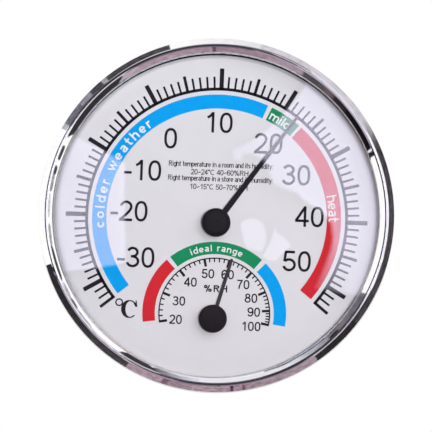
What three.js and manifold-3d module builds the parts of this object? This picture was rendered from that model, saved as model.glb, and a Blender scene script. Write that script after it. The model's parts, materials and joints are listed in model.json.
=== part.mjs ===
// Round wall thermo-hygrometer: a temperature dial with a small humidity dial below its hub.
// Lengths are millimetres. X points right, Z up and the dial faces -Y. The wall plane is y = 0 and
// the case's axis is the Y axis, so the origin is the middle of the flat back.
import * as THREE from "three";
import { mergeVertices } from "three/addons/utils/BufferGeometryUtils.js";
import Module from "manifold-3d";

const wasm = await Module();
wasm.setup();

// Clearances
const seatGap = 0.25; // between faces that are stacked on each other
const sideGap = 0.3; // round the edge of a piece in its seat
const runningGap = 0.05; // radial, where a shaft turns in a bore or a collar is pressed on it

// Whole instrument; its depth of 24 is the sum of what is stacked from the wall to the crest
const caseDiameter = 132;
const lensClearance = 1.2; // in front of the temperature hub cap
const coverClearance = 2.35; // behind the clips of the adjusters

// Bezel: a ring of spun sheet with a sharp crest, crimped behind the case's flange
const bezelSheet = 0.6;
const bezelOuterSlopeWidth = 3.0;
const bezelOuterSlopeDepth = 2.1;
const bezelInnerSlopeWidth = 2.8;
const bezelInnerSlopeDepth = 2.0;
const bezelLipReturn = 0.9; // how far the sheet is folded outward behind the window's edge
const bezelSkirtLength = 8.5;
const bezelCrimpWidth = 1.5;

// Window stack behind the bezel
const gasketThickness = 1.1;
const gasketWidth = 1.6;
const gasketInset = 0.4; // from the window's edge out to the gasket
const lensThickness = 2.0;
const lensInset = 0.5; // from the case's flange in to the lens edge
const spacerWall = 1.9;
const dialThickness = 0.8;

// Case shell
const rimWall = 2.2;
const ledgeWidth = 2.5;
const ledgeThickness = 1.8;
const neckInset = 0.3; // between the crimped edge and the case's neck
const neckLength = 1.2;
const caseWall = 2.0;
const caseTaper = 3.2; // how much the case's radius falls towards its back
const caseBackRounding = 2.4;
const backRimWidth = 2.7; // flat ring of the case round the rear cover
const coverSeatWidth = 2.3;
const coverSeatThickness = 1.8;

// Rear cover, its screws and its openings
const coverThickness = 2.3;
const coverScrewCount = 4;
const coverScrewInset = 3.0; // from the cover's edge in to a screw's axis
const coverScrewHeadRadius = 2.3;
const coverScrewHeadHeight = 1.0;
const coverScrewHeadSunk = 0.15;
const coverScrewRadius = 1.25;
const coverScrewLength = 5.6; // below its head
const coverScrewSlotWidth = 0.8;
const coverScrewSlotDepth = 0.5;
const coverLugRadius = 3.4;
const coverLugEnd = 1.4; // lug left beyond the screw's tip
const keyholeEntryRadius = 4.3;
const keyholeSlotRadius = 2.2;
const keyholeEntryHeight = 38.5; // above the case's axis
const keyholeSlotLength = 8.5;
const ventRows = 5;
const ventPitch = 4;
const ventWidth = 2;
const ventLength = 14;
const ventStart = 7; // from the hub's axis out to a slot
const adjusterHoleGap = 0.25;

// The two movements
const temperatureHubBelowAxis = 2.5;
const hubSpacing = 35.8;
const spindleRadius = 0.75;
const bushRadius = 1.9;
const bushHoleGap = 0.15;
const bushFlangeRadius = 3.4;
const bushFlangeThickness = 0.6;
const bushProjection = 0.7; // in front of the dial plate
const colletRadius = 1.8;
const colletLength = 2.0;
const coilWidth = 1.9;
const coilThickness = 0.35;
const coilPitch = 1.25;
const coilTurns = 5;
const coilStepsPerTurn = 16;
const postRadius = 0.8;
const postEnd = 0.3; // post standing past the coil's front edge
const adjusterPlateThickness = 0.7;
const adjusterPlateRadius = 3.6;
const adjusterArmWidth = 2.6;
const adjusterHubRadius = 2.4;
const adjusterStemRadius = 1.35;
const adjusterStemSunk = 0.6; // its slotted end below the wall plane
const adjusterSlotWidth = 0.6;
const adjusterSlotDepth = 0.8;
const adjusterBoreDepth = 1.1;
const spindleEndGap = 0.15;
const bridgeThickness = 1.0;
const bridgeWidth = 7;
const bridgeEyeRadius = 5.5;
const bridgeSpan = 13.2; // from the hub's axis to the inside of a leg
const bridgeFootLength = 6.2;
const clipThickness = 0.5;
const clipRadius = 3.6;
const studRadius = 0.9;
const studEnd = 0.3; // stud standing past its nut
const studHoleGap = 0.3;
const nutAcrossFlats = 3.6;
const nutThickness = 1.4;
const coilToArm = 0.35;
const collarGap = 0.3; // from the bush flange to the collet

// Pointers
const needleThickness = 0.4;
const needleRootRadius = 3.2;
const temperatureNeedleLength = 49.8;
const temperatureNeedleRootWidth = 2.3;
const temperatureNeedleTipWidth = 1.0;
const temperatureHubCapRadius = 5.35;
const temperatureHubCapHeight = 2.2;
const temperatureNeedleHeight = 2.15; // from the dial's face to the needle's back
const humidityNeedleLength = 23.5;
const humidityNeedleRootWidth = 1.7;
const humidityNeedleTipWidth = 1.25;
const humidityHubCapRadius = 5.25;
const humidityHubCapHeight = 1.9;
const humidityNeedleHeight = 1.1;
const hubCapRounding = 0.4;
const hubCapFront = 1.0; // cap left in front of the spindle's end
const temperatureRestAngle = 54.6; // degrees up from +X, seen from the front
const humidityRestAngle = 74.3;

// Facets per turn
const largeFacets = 72;
const mediumFacets = 32;
const smallFacets = 20;

// Places along Y, from the wall forward to the crest
const coverFrontY = -coverThickness;
const coverSeatY = coverFrontY - seatGap;
const clipBackY = coverFrontY - coverClearance;
const clipFrontY = clipBackY - clipThickness;
const bridgeBackY = clipFrontY - seatGap;
const bridgeFrontY = bridgeBackY - bridgeThickness;
const armBackY = bridgeFrontY - seatGap;
const armFrontY = armBackY - adjusterPlateThickness;
const coilBackY = armFrontY - coilToArm;
const coilFrontY = coilBackY - coilWidth;
const colletFrontY = coilFrontY - (colletLength - coilWidth) / 2;
const colletBackY = colletFrontY + colletLength;
const bushBackY = colletFrontY - collarGap;
const bushFlangeY = bushBackY - bushFlangeThickness;
const dialBackY = bushFlangeY - seatGap;
const dialFrontY = dialBackY - dialThickness;
const bushFrontY = dialFrontY - bushProjection;
const ledgeY = dialBackY + seatGap;
const spacerBackY = dialFrontY - seatGap;
const temperatureNeedleBackY = dialFrontY - temperatureNeedleHeight;
const humidityNeedleBackY = dialFrontY - humidityNeedleHeight;
const temperatureCapBackY = temperatureNeedleBackY - needleThickness - seatGap;
const humidityCapBackY = humidityNeedleBackY - needleThickness - seatGap;
const lensBackY = temperatureCapBackY - temperatureHubCapHeight - lensClearance;
const spacerFrontY = lensBackY + seatGap;
const lensFrontY = lensBackY - lensThickness;
const gasketBackY = lensFrontY - seatGap;
const gasketFrontY = gasketBackY - gasketThickness;
const lipBackY = gasketFrontY - seatGap;
const windowY = lipBackY - bezelSheet;
const crestY = windowY - bezelInnerSlopeDepth;
const widestY = crestY + bezelOuterSlopeDepth;
const skirtBackY = widestY + bezelSkirtLength;
const crimpFrontY = skirtBackY - bezelSheet;
const flangeBackY = crimpFrontY - seatGap;
const footFrontY = dialBackY + seatGap;
const footBackY = footFrontY + bridgeThickness;
const nutFrontY = footBackY + seatGap;
const nutBackY = nutFrontY + nutThickness;

// Radii, from the outside
const bezelRadius = caseDiameter / 2;
const crestRadius = bezelRadius - bezelOuterSlopeWidth;
const windowRadius = crestRadius - bezelInnerSlopeWidth;
const flangeRadius = bezelRadius - bezelSheet - sideGap;
const lensRadius = flangeRadius - lensInset;
const rimInnerRadius = flangeRadius - rimWall;
const dialRadius = rimInnerRadius - sideGap;
const ledgeInnerRadius = rimInnerRadius - ledgeWidth;
const crimpInnerRadius = bezelRadius - bezelCrimpWidth;
const neckRadius = crimpInnerRadius - neckInset;
const backRadius = neckRadius - caseTaper;
const backFlatRadius = backRadius - caseBackRounding;
const coverHoleRadius = backFlatRadius - backRimWidth;
const coverRadius = coverHoleRadius - sideGap;
const coverSeatInnerRadius = coverHoleRadius - coverSeatWidth;
const coverScrewCircle = coverRadius - coverScrewInset;
const hubHeights = [-temperatureHubBelowAxis, -temperatureHubBelowAxis - hubSpacing];
const coilInnerRadius = colletRadius + sideGap + coilThickness / 2;
const coilOuterRadius = coilInnerRadius + coilPitch * coilTurns;
const postCircle = coilOuterRadius + coilThickness / 2 + sideGap + postRadius;
const studPlace = bridgeSpan + bridgeThickness + bridgeFootLength / 2;

// Turns a geometry into a solid with merged corners, no empty triangles and its faces outward.
function solid(geometry) {
  const bare = geometry.clone();
  for (const name of Object.keys(bare.attributes)) {
    if (name !== "position") bare.deleteAttribute(name);
  }
  const merged = mergeVertices(bare, 1e-4);
  const points = merged.attributes.position;
  const corners = [];
  let volume = 0;
  const a = new THREE.Vector3();
  const b = new THREE.Vector3();
  const c = new THREE.Vector3();
  for (let i = 0; i < merged.index.count; i += 3) {
    const face = [0, 1, 2].map((k) => merged.index.getX(i + k));
    if (new Set(face).size < 3) continue;
    corners.push(...face);
    a.fromBufferAttribute(points, face[0]);
    b.fromBufferAttribute(points, face[1]);
    c.fromBufferAttribute(points, face[2]);
    volume += a.dot(b.cross(c));
  }
  if (volume < 0) corners.reverse();
  return new wasm.Manifold(
    new wasm.Mesh({
      numProp: 3,
      vertProperties: new Float32Array(points.array),
      triVerts: new Uint32Array(corners),
    }),
  );
}

// Makes the named mesh of a solid.
function piece(name, body, colour, roughness, metalness) {
  const { vertProperties, triVerts } = body.getMesh();
  const geometry = new THREE.BufferGeometry();
  geometry.setAttribute("position", new THREE.BufferAttribute(vertProperties, 3));
  geometry.setIndex(new THREE.BufferAttribute(triVerts, 1));
  geometry.computeVertexNormals();
  const material = new THREE.MeshStandardMaterial({ color: colour, roughness, metalness });
  const mesh = new THREE.Mesh(geometry, material);
  mesh.name = name;
  return mesh;
}

// Revolves a closed outline of [radius, y] points about the Y axis.
function ring(outline, facets) {
  const points = [...outline, outline[0]].map(([r, y]) => new THREE.Vector2(r, y));
  return solid(new THREE.LatheGeometry(points, facets));
}

// Revolves an outline of [radius, y] points whose two ends lie on the Y axis.
function turned(outline, facets) {
  const points = outline.map(([r, y]) => new THREE.Vector2(r, y));
  return solid(new THREE.LatheGeometry(points, facets));
}

// A plain round bar along Y between two places.
function bar(radius, fromY, toY, facets = smallFacets) {
  return turned([[0, fromY], [radius, fromY], [radius, toY], [0, toY]], facets);
}

// A round bar along Y whose axis crosses the XZ plane at x and z.
function barAt(radius, fromY, toY, x, z, facets = smallFacets) {
  return bar(radius, fromY, toY, facets).translate([x, 0, z]);
}

// A flat plate: a shape drawn in X and Z, between two places along Y.
function plate(shape, fromY, toY, curveSegments = 12) {
  const options = { depth: toY - fromY, bevelEnabled: false, curveSegments };
  const geometry = new THREE.ExtrudeGeometry(shape, options);
  geometry.rotateX(Math.PI / 2);
  geometry.translate(0, toY, 0);
  return solid(geometry);
}

// A box between two corners.
function block(low, high) {
  const size = [0, 1, 2].map((k) => high[k] - low[k]);
  const middle = [0, 1, 2].map((k) => (high[k] + low[k]) / 2);
  const geometry = new THREE.BoxGeometry(...size);
  geometry.translate(...middle);
  return solid(geometry);
}

// A slot with round ends, drawn along X between two centres.
function slotShape(fromX, toX, z, radius) {
  const shape = new THREE.Shape();
  shape.absarc(toX, z, radius, -Math.PI / 2, Math.PI / 2, false);
  shape.absarc(fromX, z, radius, Math.PI / 2, (3 * Math.PI) / 2, false);
  shape.closePath();
  return shape;
}

// The chromed ring: two slopes that meet in a crest, a straight skirt and a crimped edge.
function makeBezel() {
  const slopeLength = Math.hypot(bezelOuterSlopeWidth, bezelOuterSlopeDepth);
  const crestThickness = (bezelSheet * slopeLength) / bezelOuterSlopeWidth;
  const outline = [
    [windowRadius, windowY],
    [crestRadius, crestY],
    [bezelRadius, widestY],
    [bezelRadius, skirtBackY - bezelSheet / 2],
    [bezelRadius - bezelSheet / 2, skirtBackY],
    [crimpInnerRadius, skirtBackY],
    [crimpInnerRadius, crimpFrontY],
    [bezelRadius - bezelSheet, crimpFrontY],
    [bezelRadius - bezelSheet, widestY + bezelSheet / 3],
    [crestRadius, crestY + crestThickness],
    [windowRadius + bezelLipReturn, lipBackY],
    [windowRadius, lipBackY],
  ];
  return piece("bezel_ring", ring(outline, largeFacets), 0xd9d9dd, 0.08, 1);
}

// The flat black ring between the bezel's lip and the lens.
function makeGasket() {
  const inner = windowRadius + gasketInset;
  const outer = inner + gasketWidth;
  const outline = [
    [inner, gasketFrontY],
    [outer, gasketFrontY],
    [outer, gasketBackY],
    [inner, gasketBackY],
  ];
  return piece("lens_gasket", ring(outline, largeFacets), 0x151515, 0.8, 0);
}

function makeLens() {
  const body = bar(lensRadius, lensFrontY, lensBackY, largeFacets);
  return piece("lens", body, 0xf2f6f7, 0.03, 0);
}

// The white ring that keeps the lens away from the dial.
function makeSpacer() {
  const outer = rimInnerRadius - sideGap;
  const inner = outer - spacerWall;
  const outline = [
    [inner, spacerFrontY],
    [outer, spacerFrontY],
    [outer, spacerBackY],
    [inner, spacerBackY],
  ];
  return piece("spacer_ring", ring(outline, largeFacets), 0xe9e7ea, 0.55, 0);
}

// The printed plate, with a hole for each bearing bush.
function makeDialPlate() {
  let body = bar(dialRadius, dialFrontY, dialBackY, largeFacets);
  for (const z of hubHeights) {
    const hole = barAt(bushRadius + bushHoleGap, dialFrontY - 1, dialBackY + 1, 0, z);
    body = body.subtract(hole);
  }
  return piece("dial_plate", body, 0xdcd8de, 0.45, 0);
}

function coverScrewPlaces() {
  const places = [];
  for (let i = 0; i < coverScrewCount; i += 1) {
    const angle = ((i + 0.5) * 2 * Math.PI) / coverScrewCount;
    places.push([coverScrewCircle * Math.cos(angle), coverScrewCircle * Math.sin(angle)]);
  }
  return places;
}

// The plastic case: a rim round the dial, a ledge under it, a tapered wall and a cover seat.
function makeCaseShell() {
  const seatFrontY = coverSeatY - coverSeatThickness;
  const outline = [
    [rimInnerRadius, spacerFrontY],
    [flangeRadius, spacerFrontY],
    [flangeRadius, flangeBackY],
    [neckRadius, flangeBackY],
    [neckRadius, flangeBackY + neckLength],
    [backRadius, -caseBackRounding],
    [backRadius - caseBackRounding * 0.3, -caseBackRounding * 0.3],
    [backFlatRadius, 0],
    [coverHoleRadius, 0],
    [coverHoleRadius, coverSeatY],
    [coverSeatInnerRadius, coverSeatY],
    [coverSeatInnerRadius, seatFrontY],
    [backRadius - caseWall, seatFrontY],
    [neckRadius - caseWall - ledgeThickness / 2, ledgeY + ledgeThickness + caseWall / 4],
    [ledgeInnerRadius, ledgeY + ledgeThickness],
    [ledgeInnerRadius, ledgeY],
    [rimInnerRadius, ledgeY],
  ];
  let body = ring(outline, largeFacets);
  const lugFrontY = coverScrewTipY() - coverLugEnd;
  for (const [x, z] of coverScrewPlaces()) {
    body = body.add(barAt(coverLugRadius, lugFrontY, coverSeatY, x, z));
  }
  for (const [x, z] of coverScrewPlaces()) {
    const pilot = barAt(coverScrewRadius + runningGap * 4, coverScrewTipY() - seatGap, 1, x, z);
    body = body.subtract(pilot);
  }
  // The lugs may not reach into the cover's seat or the ledge.
  body = body.subtract(bar(coverHoleRadius, coverSeatY, 1, largeFacets));
  return piece("case_shell", body, 0xe6e5e3, 0.5, 0);
}

// Where a cover screw's head ends and its thread begins.
function coverScrewHeadY() {
  return -coverScrewHeadSunk - coverScrewHeadHeight;
}

function coverScrewTipY() {
  return coverScrewHeadY() - coverScrewLength;
}

// The keyhole: a round entry for the screw's head and a narrow slot above it.
function keyholeCutter() {
  const entry = barAt(keyholeEntryRadius, coverFrontY - 1, 1, 0, keyholeEntryHeight, mediumFacets);
  const slot = new THREE.Shape();
  const top = keyholeEntryHeight + keyholeSlotLength;
  slot.moveTo(-keyholeSlotRadius, keyholeEntryHeight);
  slot.lineTo(keyholeSlotRadius, keyholeEntryHeight);
  slot.lineTo(keyholeSlotRadius, top);
  slot.absarc(0, top, keyholeSlotRadius, 0, Math.PI, false);
  slot.closePath();
  return entry.add(plate(slot, coverFrontY - 1, 1));
}

// The rear cover with its keyhole, air slots, adjuster holes and sunk screw holes.
function makeRearCover() {
  let body = bar(coverRadius, coverFrontY, 0, largeFacets);
  body = body.subtract(keyholeCutter());
  for (const hubZ of hubHeights) {
    const holeRadius = adjusterStemRadius + adjusterHoleGap;
    body = body.subtract(barAt(holeRadius, coverFrontY - 1, 1, 0, hubZ));
    for (let row = 0; row < ventRows; row += 1) {
      const z = hubZ + (row - (ventRows - 1) / 2) * ventPitch;
      for (const side of [-1, 1]) {
        const ends = [side * (ventStart + ventWidth / 2), side * (ventStart + ventLength)];
        const vent = slotShape(Math.min(...ends), Math.max(...ends), z, ventWidth / 2);
        body = body.subtract(plate(vent, coverFrontY - 1, 1, 3));
      }
    }
  }
  for (const [x, z] of coverScrewPlaces()) {
    body = body.subtract(barAt(coverScrewRadius + sideGap, coverFrontY - 1, 1, x, z));
    const sunk = barAt(coverScrewHeadRadius + sideGap, coverScrewHeadY() - seatGap, 1, x, z);
    body = body.subtract(sunk);
  }
  return piece("rear_cover", body, 0xe2e1df, 0.55, 0);
}

// A slotted pan-head screw of the rear cover, its slot along Z.
function makeCoverScrew(number) {
  const tipY = coverScrewTipY();
  const headY = coverScrewHeadY();
  const outline = [
    [0, tipY],
    [coverScrewRadius * 0.6, tipY],
    [coverScrewRadius, tipY + coverScrewRadius],
    [coverScrewRadius, headY],
    [coverScrewHeadRadius, headY],
    [coverScrewHeadRadius, -coverScrewHeadSunk - coverScrewHeadHeight / 3],
    [coverScrewHeadRadius * 0.8, -coverScrewHeadSunk],
    [0, -coverScrewHeadSunk],
  ];
  const half = coverScrewSlotWidth / 2;
  const slotFloor = -coverScrewHeadSunk - coverScrewSlotDepth;
  const reach = coverScrewHeadRadius * 2;
  const slot = block([-half, slotFloor, -reach], [half, 1, reach]);
  const body = turned(outline, 20).subtract(slot);
  return piece(`cover_screw_${number}`, body, 0xb9bbbf, 0.35, 1);
}

// All the cover's screws, each turned a little further than the last.
function makeCoverScrews() {
  const screws = new THREE.Group();
  coverScrewPlaces().forEach(([x, z], i) => {
    const screw = makeCoverScrew(i + 1);
    screw.position.set(x, 0, z);
    screw.rotation.y = 0.5 + i * 1.1;
    screws.add(screw);
  });
  return screws;
}

// The brass bush that carries the spindle in the dial plate, with its flange behind the plate.
function makeBush(kind) {
  const bore = spindleRadius + runningGap;
  const outline = [
    [bore, bushFrontY],
    [bushRadius, bushFrontY],
    [bushRadius, bushFlangeY],
    [bushFlangeRadius, bushFlangeY],
    [bushFlangeRadius, bushBackY],
    [bore, bushBackY],
  ];
  return piece(`${kind}_bearing_bush`, ring(outline, smallFacets), 0xc2a25a, 0.35, 1);
}

// The steel strap behind the plate: an eye, two arms, two legs and two feet.
function makeBridge(kind) {
  const half = bridgeWidth / 2;
  const legOut = bridgeSpan + bridgeThickness;
  const footOut = legOut + bridgeFootLength;
  let body = block([-legOut, bridgeFrontY, -half], [legOut, bridgeBackY, half]);
  body = body.add(bar(bridgeEyeRadius, bridgeFrontY, bridgeBackY));
  for (const side of [-1, 1]) {
    const legX = [side * bridgeSpan, side * legOut];
    const footX = [side * bridgeSpan, side * footOut];
    const leg = block(
      [Math.min(...legX), footFrontY, -half],
      [Math.max(...legX), bridgeBackY, half],
    );
    const foot = block(
      [Math.min(...footX), footFrontY, -half],
      [Math.max(...footX), footBackY, half],
    );
    const hole = barAt(studRadius + studHoleGap, footFrontY - 1, footBackY + 1, side * studPlace, 0);
    body = body.add(leg).add(foot).subtract(hole);
  }
  const eye = bar(adjusterHubRadius + runningGap, bridgeFrontY - 1, bridgeBackY + 1);
  return piece(`${kind}_bridge`, body.subtract(eye), 0xaeb1b5, 0.4, 1);
}

// A stud on the plate's back that holds a foot of the bridge.
function makeStud(name) {
  const body = bar(studRadius, footFrontY, nutBackY + studEnd, 16);
  return piece(name, body, 0xb4b6b9, 0.35, 1);
}

// The hexagon nut on a stud.
function makeNut(name) {
  const blank = bar(nutAcrossFlats / Math.sqrt(3), nutFrontY, nutBackY, 6);
  const bore = bar(studRadius + runningGap * 2, nutFrontY - 1, nutBackY + 1, 16);
  return piece(name, blank.subtract(bore), 0xc0c2c4, 0.3, 1);
}

// The studs and nuts at both feet of a bridge.
function makeFixings(kind) {
  const fixings = new THREE.Group();
  for (const [side, x] of [["left", -studPlace], ["right", studPlace]]) {
    const foot = new THREE.Group();
    foot.position.set(x, 0, 0);
    foot.add(makeStud(`${kind}_stud_${side}`), makeNut(`${kind}_nut_${side}`));
    fixings.add(foot);
  }
  return fixings;
}

// The adjuster: a plate with an arm for the coil post, a hub that turns in the bridge and a
// slotted stem that ends in a hole of the rear cover.
function makeAdjuster(kind) {
  const hubEndY = clipFrontY - seatGap / 2;
  const stemEndY = -adjusterStemSunk;
  const half = adjusterArmWidth / 2;
  const armEnd = postCircle;
  let body = bar(adjusterPlateRadius, armFrontY, armBackY);
  body = body.add(block([0, armFrontY, -half], [armEnd, armBackY, half]));
  body = body.add(barAt(half, armFrontY, armBackY, armEnd, 0));
  body = body.add(bar(adjusterHubRadius, armFrontY, hubEndY));
  body = body.add(bar(adjusterStemRadius, armFrontY, stemEndY));
  const slotHalf = adjusterSlotWidth / 2;
  const slotFloor = stemEndY - adjusterSlotDepth;
  const reach = adjusterStemRadius * 2;
  body = body.subtract(block([-reach, slotFloor, -slotHalf], [reach, 1, slotHalf]));
  const bore = bar(spindleRadius + runningGap, armFrontY - 1, armFrontY + adjusterBoreDepth);
  return piece(`${kind}_adjuster`, body.subtract(bore), 0xc8a960, 0.35, 1);
}

// The flat ring on the adjuster's stem that keeps it in the bridge.
function makeClip(kind) {
  const inner = adjusterStemRadius + runningGap;
  const outline = [
    [inner, clipFrontY],
    [clipRadius, clipFrontY],
    [clipRadius, clipBackY],
    [inner, clipBackY],
  ];
  return piece(`${kind}_adjuster_clip`, ring(outline, smallFacets), 0x9c9fa3, 0.35, 1);
}

// The pin on the adjuster's arm that holds the coil's outer end.
function makePost(kind) {
  const body = barAt(postRadius, coilFrontY - postEnd, armFrontY - seatGap, postCircle, 0, 20);
  return piece(`${kind}_coil_post`, body, 0xb8903e, 0.35, 1);
}

// The middle line of the coil: radius grows evenly with the angle and ends at the post, on +X.
function coilPoint(share, offset) {
  const angle = (share - 1) * coilTurns * 2 * Math.PI;
  const radius = coilInnerRadius + coilPitch * coilTurns * share + offset;
  return new THREE.Vector2(radius * Math.cos(angle), radius * Math.sin(angle));
}

// The least gap between two turns of the coil, measured on the points of its two edges.
function coilGap() {
  const steps = coilStepsPerTurn * coilTurns;
  let least = Infinity;
  for (let i = 0; i <= steps; i += 1) {
    for (let j = i + coilStepsPerTurn / 2; j <= steps; j += 1) {
      const outer = coilPoint(i / steps, coilThickness / 2);
      const inner = coilPoint(j / steps, -coilThickness / 2);
      least = Math.min(least, outer.distanceTo(inner));
    }
  }
  return least;
}

// The flat strip wound in a spiral, on edge.
function makeCoil(kind, colour) {
  const steps = coilStepsPerTurn * coilTurns;
  const outline = [];
  for (let i = 0; i <= steps; i += 1) {
    outline.push(coilPoint(i / steps, coilThickness / 2));
  }
  for (let i = steps; i >= 0; i -= 1) {
    outline.push(coilPoint(i / steps, -coilThickness / 2));
  }
  const body = plate(new THREE.Shape(outline), coilFrontY, coilBackY);
  return piece(`${kind}_coil`, body, colour, 0.35, 1);
}

// The collar pressed on the spindle, which the coil's inner end turns.
function makeCollet(kind) {
  const bore = spindleRadius + runningGap;
  const outline = [
    [bore, colletFrontY],
    [colletRadius, colletFrontY],
    [colletRadius, colletBackY],
    [bore, colletBackY],
  ];
  return piece(`${kind}_collet`, ring(outline, smallFacets), 0xc9ab62, 0.35, 1);
}

// The steel shaft from the hub cap through the bush and the collar to the adjuster's bore.
function makeSpindle(kind, spec) {
  const frontY = spec.capBackY - spec.capHeight + hubCapFront;
  const endY = armFrontY + adjusterBoreDepth - spindleEndGap;
  const body = bar(spindleRadius, frontY, endY);
  return piece(`${kind}_spindle`, body, 0xaaacb0, 0.25, 1);
}

// The needle: a round root on the spindle and a blade that narrows to a rounded tip.
function makeNeedle(kind, spec) {
  const shape = new THREE.Shape();
  const rootHalf = spec.rootWidth / 2;
  const tipHalf = spec.tipWidth / 2;
  const tipX = spec.length - tipHalf;
  shape.moveTo(0, -rootHalf);
  shape.lineTo(tipX, -tipHalf);
  shape.absarc(tipX, 0, tipHalf, -Math.PI / 2, Math.PI / 2, false);
  shape.lineTo(0, rootHalf);
  shape.closePath();
  const backY = spec.needleBackY;
  const frontY = backY - needleThickness;
  let body = plate(shape, frontY, backY, 8);
  body = body.add(bar(needleRootRadius, frontY, backY));
  const bore = bar(spindleRadius + runningGap, frontY - 1, backY + 1);
  return piece(`${kind}_needle`, body.subtract(bore), 0x1c1a1e, 0.5, 0);
}

// The round cap in front of the needle, with a blind bore for the spindle's end.
function makeHubCap(kind, spec) {
  const frontY = spec.capBackY - spec.capHeight;
  const boreEndY = frontY + hubCapFront - spindleEndGap;
  const bore = spindleRadius + runningGap;
  const outline = [
    [0, frontY],
    [spec.capRadius - hubCapRounding, frontY],
    [spec.capRadius - hubCapRounding * 0.3, frontY + hubCapRounding * 0.3],
    [spec.capRadius, frontY + hubCapRounding],
    [spec.capRadius, spec.capBackY],
    [bore, spec.capBackY],
    [bore, boreEndY],
    [0, boreEndY],
  ];
  return piece(`${kind}_hub_cap`, turned(outline, mediumFacets), 0x17151a, 0.35, 0);
}

// One movement with its pointer, as a group whose origin lies on its hub's axis.
function makeMovement(kind, hubZ, spec) {
  const movement = new THREE.Group();
  movement.position.set(0, 0, hubZ);
  movement.add(makeBush(kind), makeBridge(kind), makeFixings(kind));

  const adjuster = new THREE.Group();
  adjuster.rotation.y = -THREE.MathUtils.degToRad(spec.postAngle);
  adjuster.add(makeAdjuster(kind), makeClip(kind), makePost(kind), makeCoil(kind, spec.coilColour));
  movement.add(adjuster);

  const pointer = new THREE.Group();
  pointer.rotation.y = -THREE.MathUtils.degToRad(spec.restAngle);
  pointer.add(makeSpindle(kind, spec), makeCollet(kind));
  pointer.add(makeNeedle(kind, spec), makeHubCap(kind, spec));
  movement.add(pointer);
  return movement;
}

const temperature = {
  length: temperatureNeedleLength,
  rootWidth: temperatureNeedleRootWidth,
  tipWidth: temperatureNeedleTipWidth,
  capRadius: temperatureHubCapRadius,
  capHeight: temperatureHubCapHeight,
  capBackY: temperatureCapBackY,
  needleBackY: temperatureNeedleBackY,
  restAngle: temperatureRestAngle,
  postAngle: 90,
  coilColour: 0xb98a3c,
};
const humidity = {
  length: humidityNeedleLength,
  rootWidth: humidityNeedleRootWidth,
  tipWidth: humidityNeedleTipWidth,
  capRadius: humidityHubCapRadius,
  capHeight: humidityHubCapHeight,
  capBackY: humidityCapBackY,
  needleBackY: humidityNeedleBackY,
  restAngle: humidityRestAngle,
  postAngle: -90,
  coilColour: 0xa9abad,
};

console.log(`depth ${(-crestY).toFixed(2)} mm, least gap in a coil ${coilGap().toFixed(2)} mm`);

const instrument = new THREE.Group();
instrument.add(makeBezel(), makeGasket(), makeLens(), makeSpacer(), makeDialPlate());
instrument.add(makeCaseShell(), makeRearCover(), makeCoverScrews());
instrument.add(makeMovement("temperature", hubHeights[0], temperature));
instrument.add(makeMovement("humidity", hubHeights[1], humidity));

export default instrument;
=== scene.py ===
import json
import math

import bmesh
import bpy
import numpy as np
from mathutils import Matrix, Vector


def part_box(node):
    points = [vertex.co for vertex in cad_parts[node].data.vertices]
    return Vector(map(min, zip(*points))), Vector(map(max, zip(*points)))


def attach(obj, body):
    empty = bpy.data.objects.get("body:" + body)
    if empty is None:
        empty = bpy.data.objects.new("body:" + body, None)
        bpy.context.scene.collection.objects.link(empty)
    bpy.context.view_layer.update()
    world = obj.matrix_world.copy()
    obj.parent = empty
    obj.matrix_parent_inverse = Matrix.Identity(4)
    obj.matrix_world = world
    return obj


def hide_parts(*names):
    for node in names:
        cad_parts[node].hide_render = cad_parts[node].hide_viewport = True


# Looks of a round wall thermo-hygrometer. Lengths in the dictionaries are millimetres, angles are
# degrees counter-clockwise from +X as the dial is read, and the dial faces -Y.
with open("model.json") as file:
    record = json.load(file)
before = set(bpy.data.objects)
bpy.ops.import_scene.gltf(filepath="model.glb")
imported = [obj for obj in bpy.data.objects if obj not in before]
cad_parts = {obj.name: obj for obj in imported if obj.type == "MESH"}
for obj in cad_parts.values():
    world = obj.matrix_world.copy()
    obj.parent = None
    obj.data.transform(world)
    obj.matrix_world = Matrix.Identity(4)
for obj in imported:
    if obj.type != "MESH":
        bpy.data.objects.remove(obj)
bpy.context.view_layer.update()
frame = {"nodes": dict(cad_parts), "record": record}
nodes = frame["nodes"]
mm = 0.001
print("frame loaded:", len(nodes), "nodes")


# Front and back along Y and reach along X of a CAD node, in millimetres.
def reachOf(node):
    low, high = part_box(node)
    return low.y / mm, high.y / mm, high.x / mm


# The middle of a CAD node's box in X and Z, in millimetres.
def middleOf(node):
    low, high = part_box(node)
    return (low.x + high.x) / 2 / mm, (low.z + high.z) / 2 / mm


# Quads of a grid of points; a closed direction joins its last line to its first.
def gridFaces(rows, columns, closeRows, closeColumns):
    r, c = np.meshgrid(
        np.arange(rows - (not closeRows)), np.arange(columns - (not closeColumns)), indexing="ij"
    )
    nextR, nextC = (r + 1) % rows, (c + 1) % columns
    corners = [r * columns + c, r * columns + nextC, nextR * columns + nextC, nextR * columns + c]
    return np.stack(corners, -1).reshape(-1, 4)


# The direction (cos, sin) of an angle in degrees.
def direction(angle):
    return np.array([math.cos(math.radians(angle)), math.sin(math.radians(angle))])


# A point at each angle on an oval: centre + (cos^(2/power), sin^(2/power)) times its two radii.
def oval(centre, radii, fromAngle, toAngle, count, power=2.0):
    t = np.radians(np.linspace(fromAngle, toAngle, count))
    c, s = np.cos(t), np.sin(t)
    x = centre[0] + radii[0] * np.sign(c) * np.abs(c) ** (2 / power)
    z = centre[1] + radii[1] * np.sign(s) * np.abs(s) ** (2 / power)
    return np.stack([x, z], 1)


# A curve from a to c that leans to b: (1-t)^2 a + 2 t (1-t) b + t^2 c.
def lean(a, b, c, count=10):
    t = np.linspace(0, 1, count)[:, None]
    return (1 - t) ** 2 * np.array(a) + 2 * t * (1 - t) * np.array(b) + t * t * np.array(c)


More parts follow.
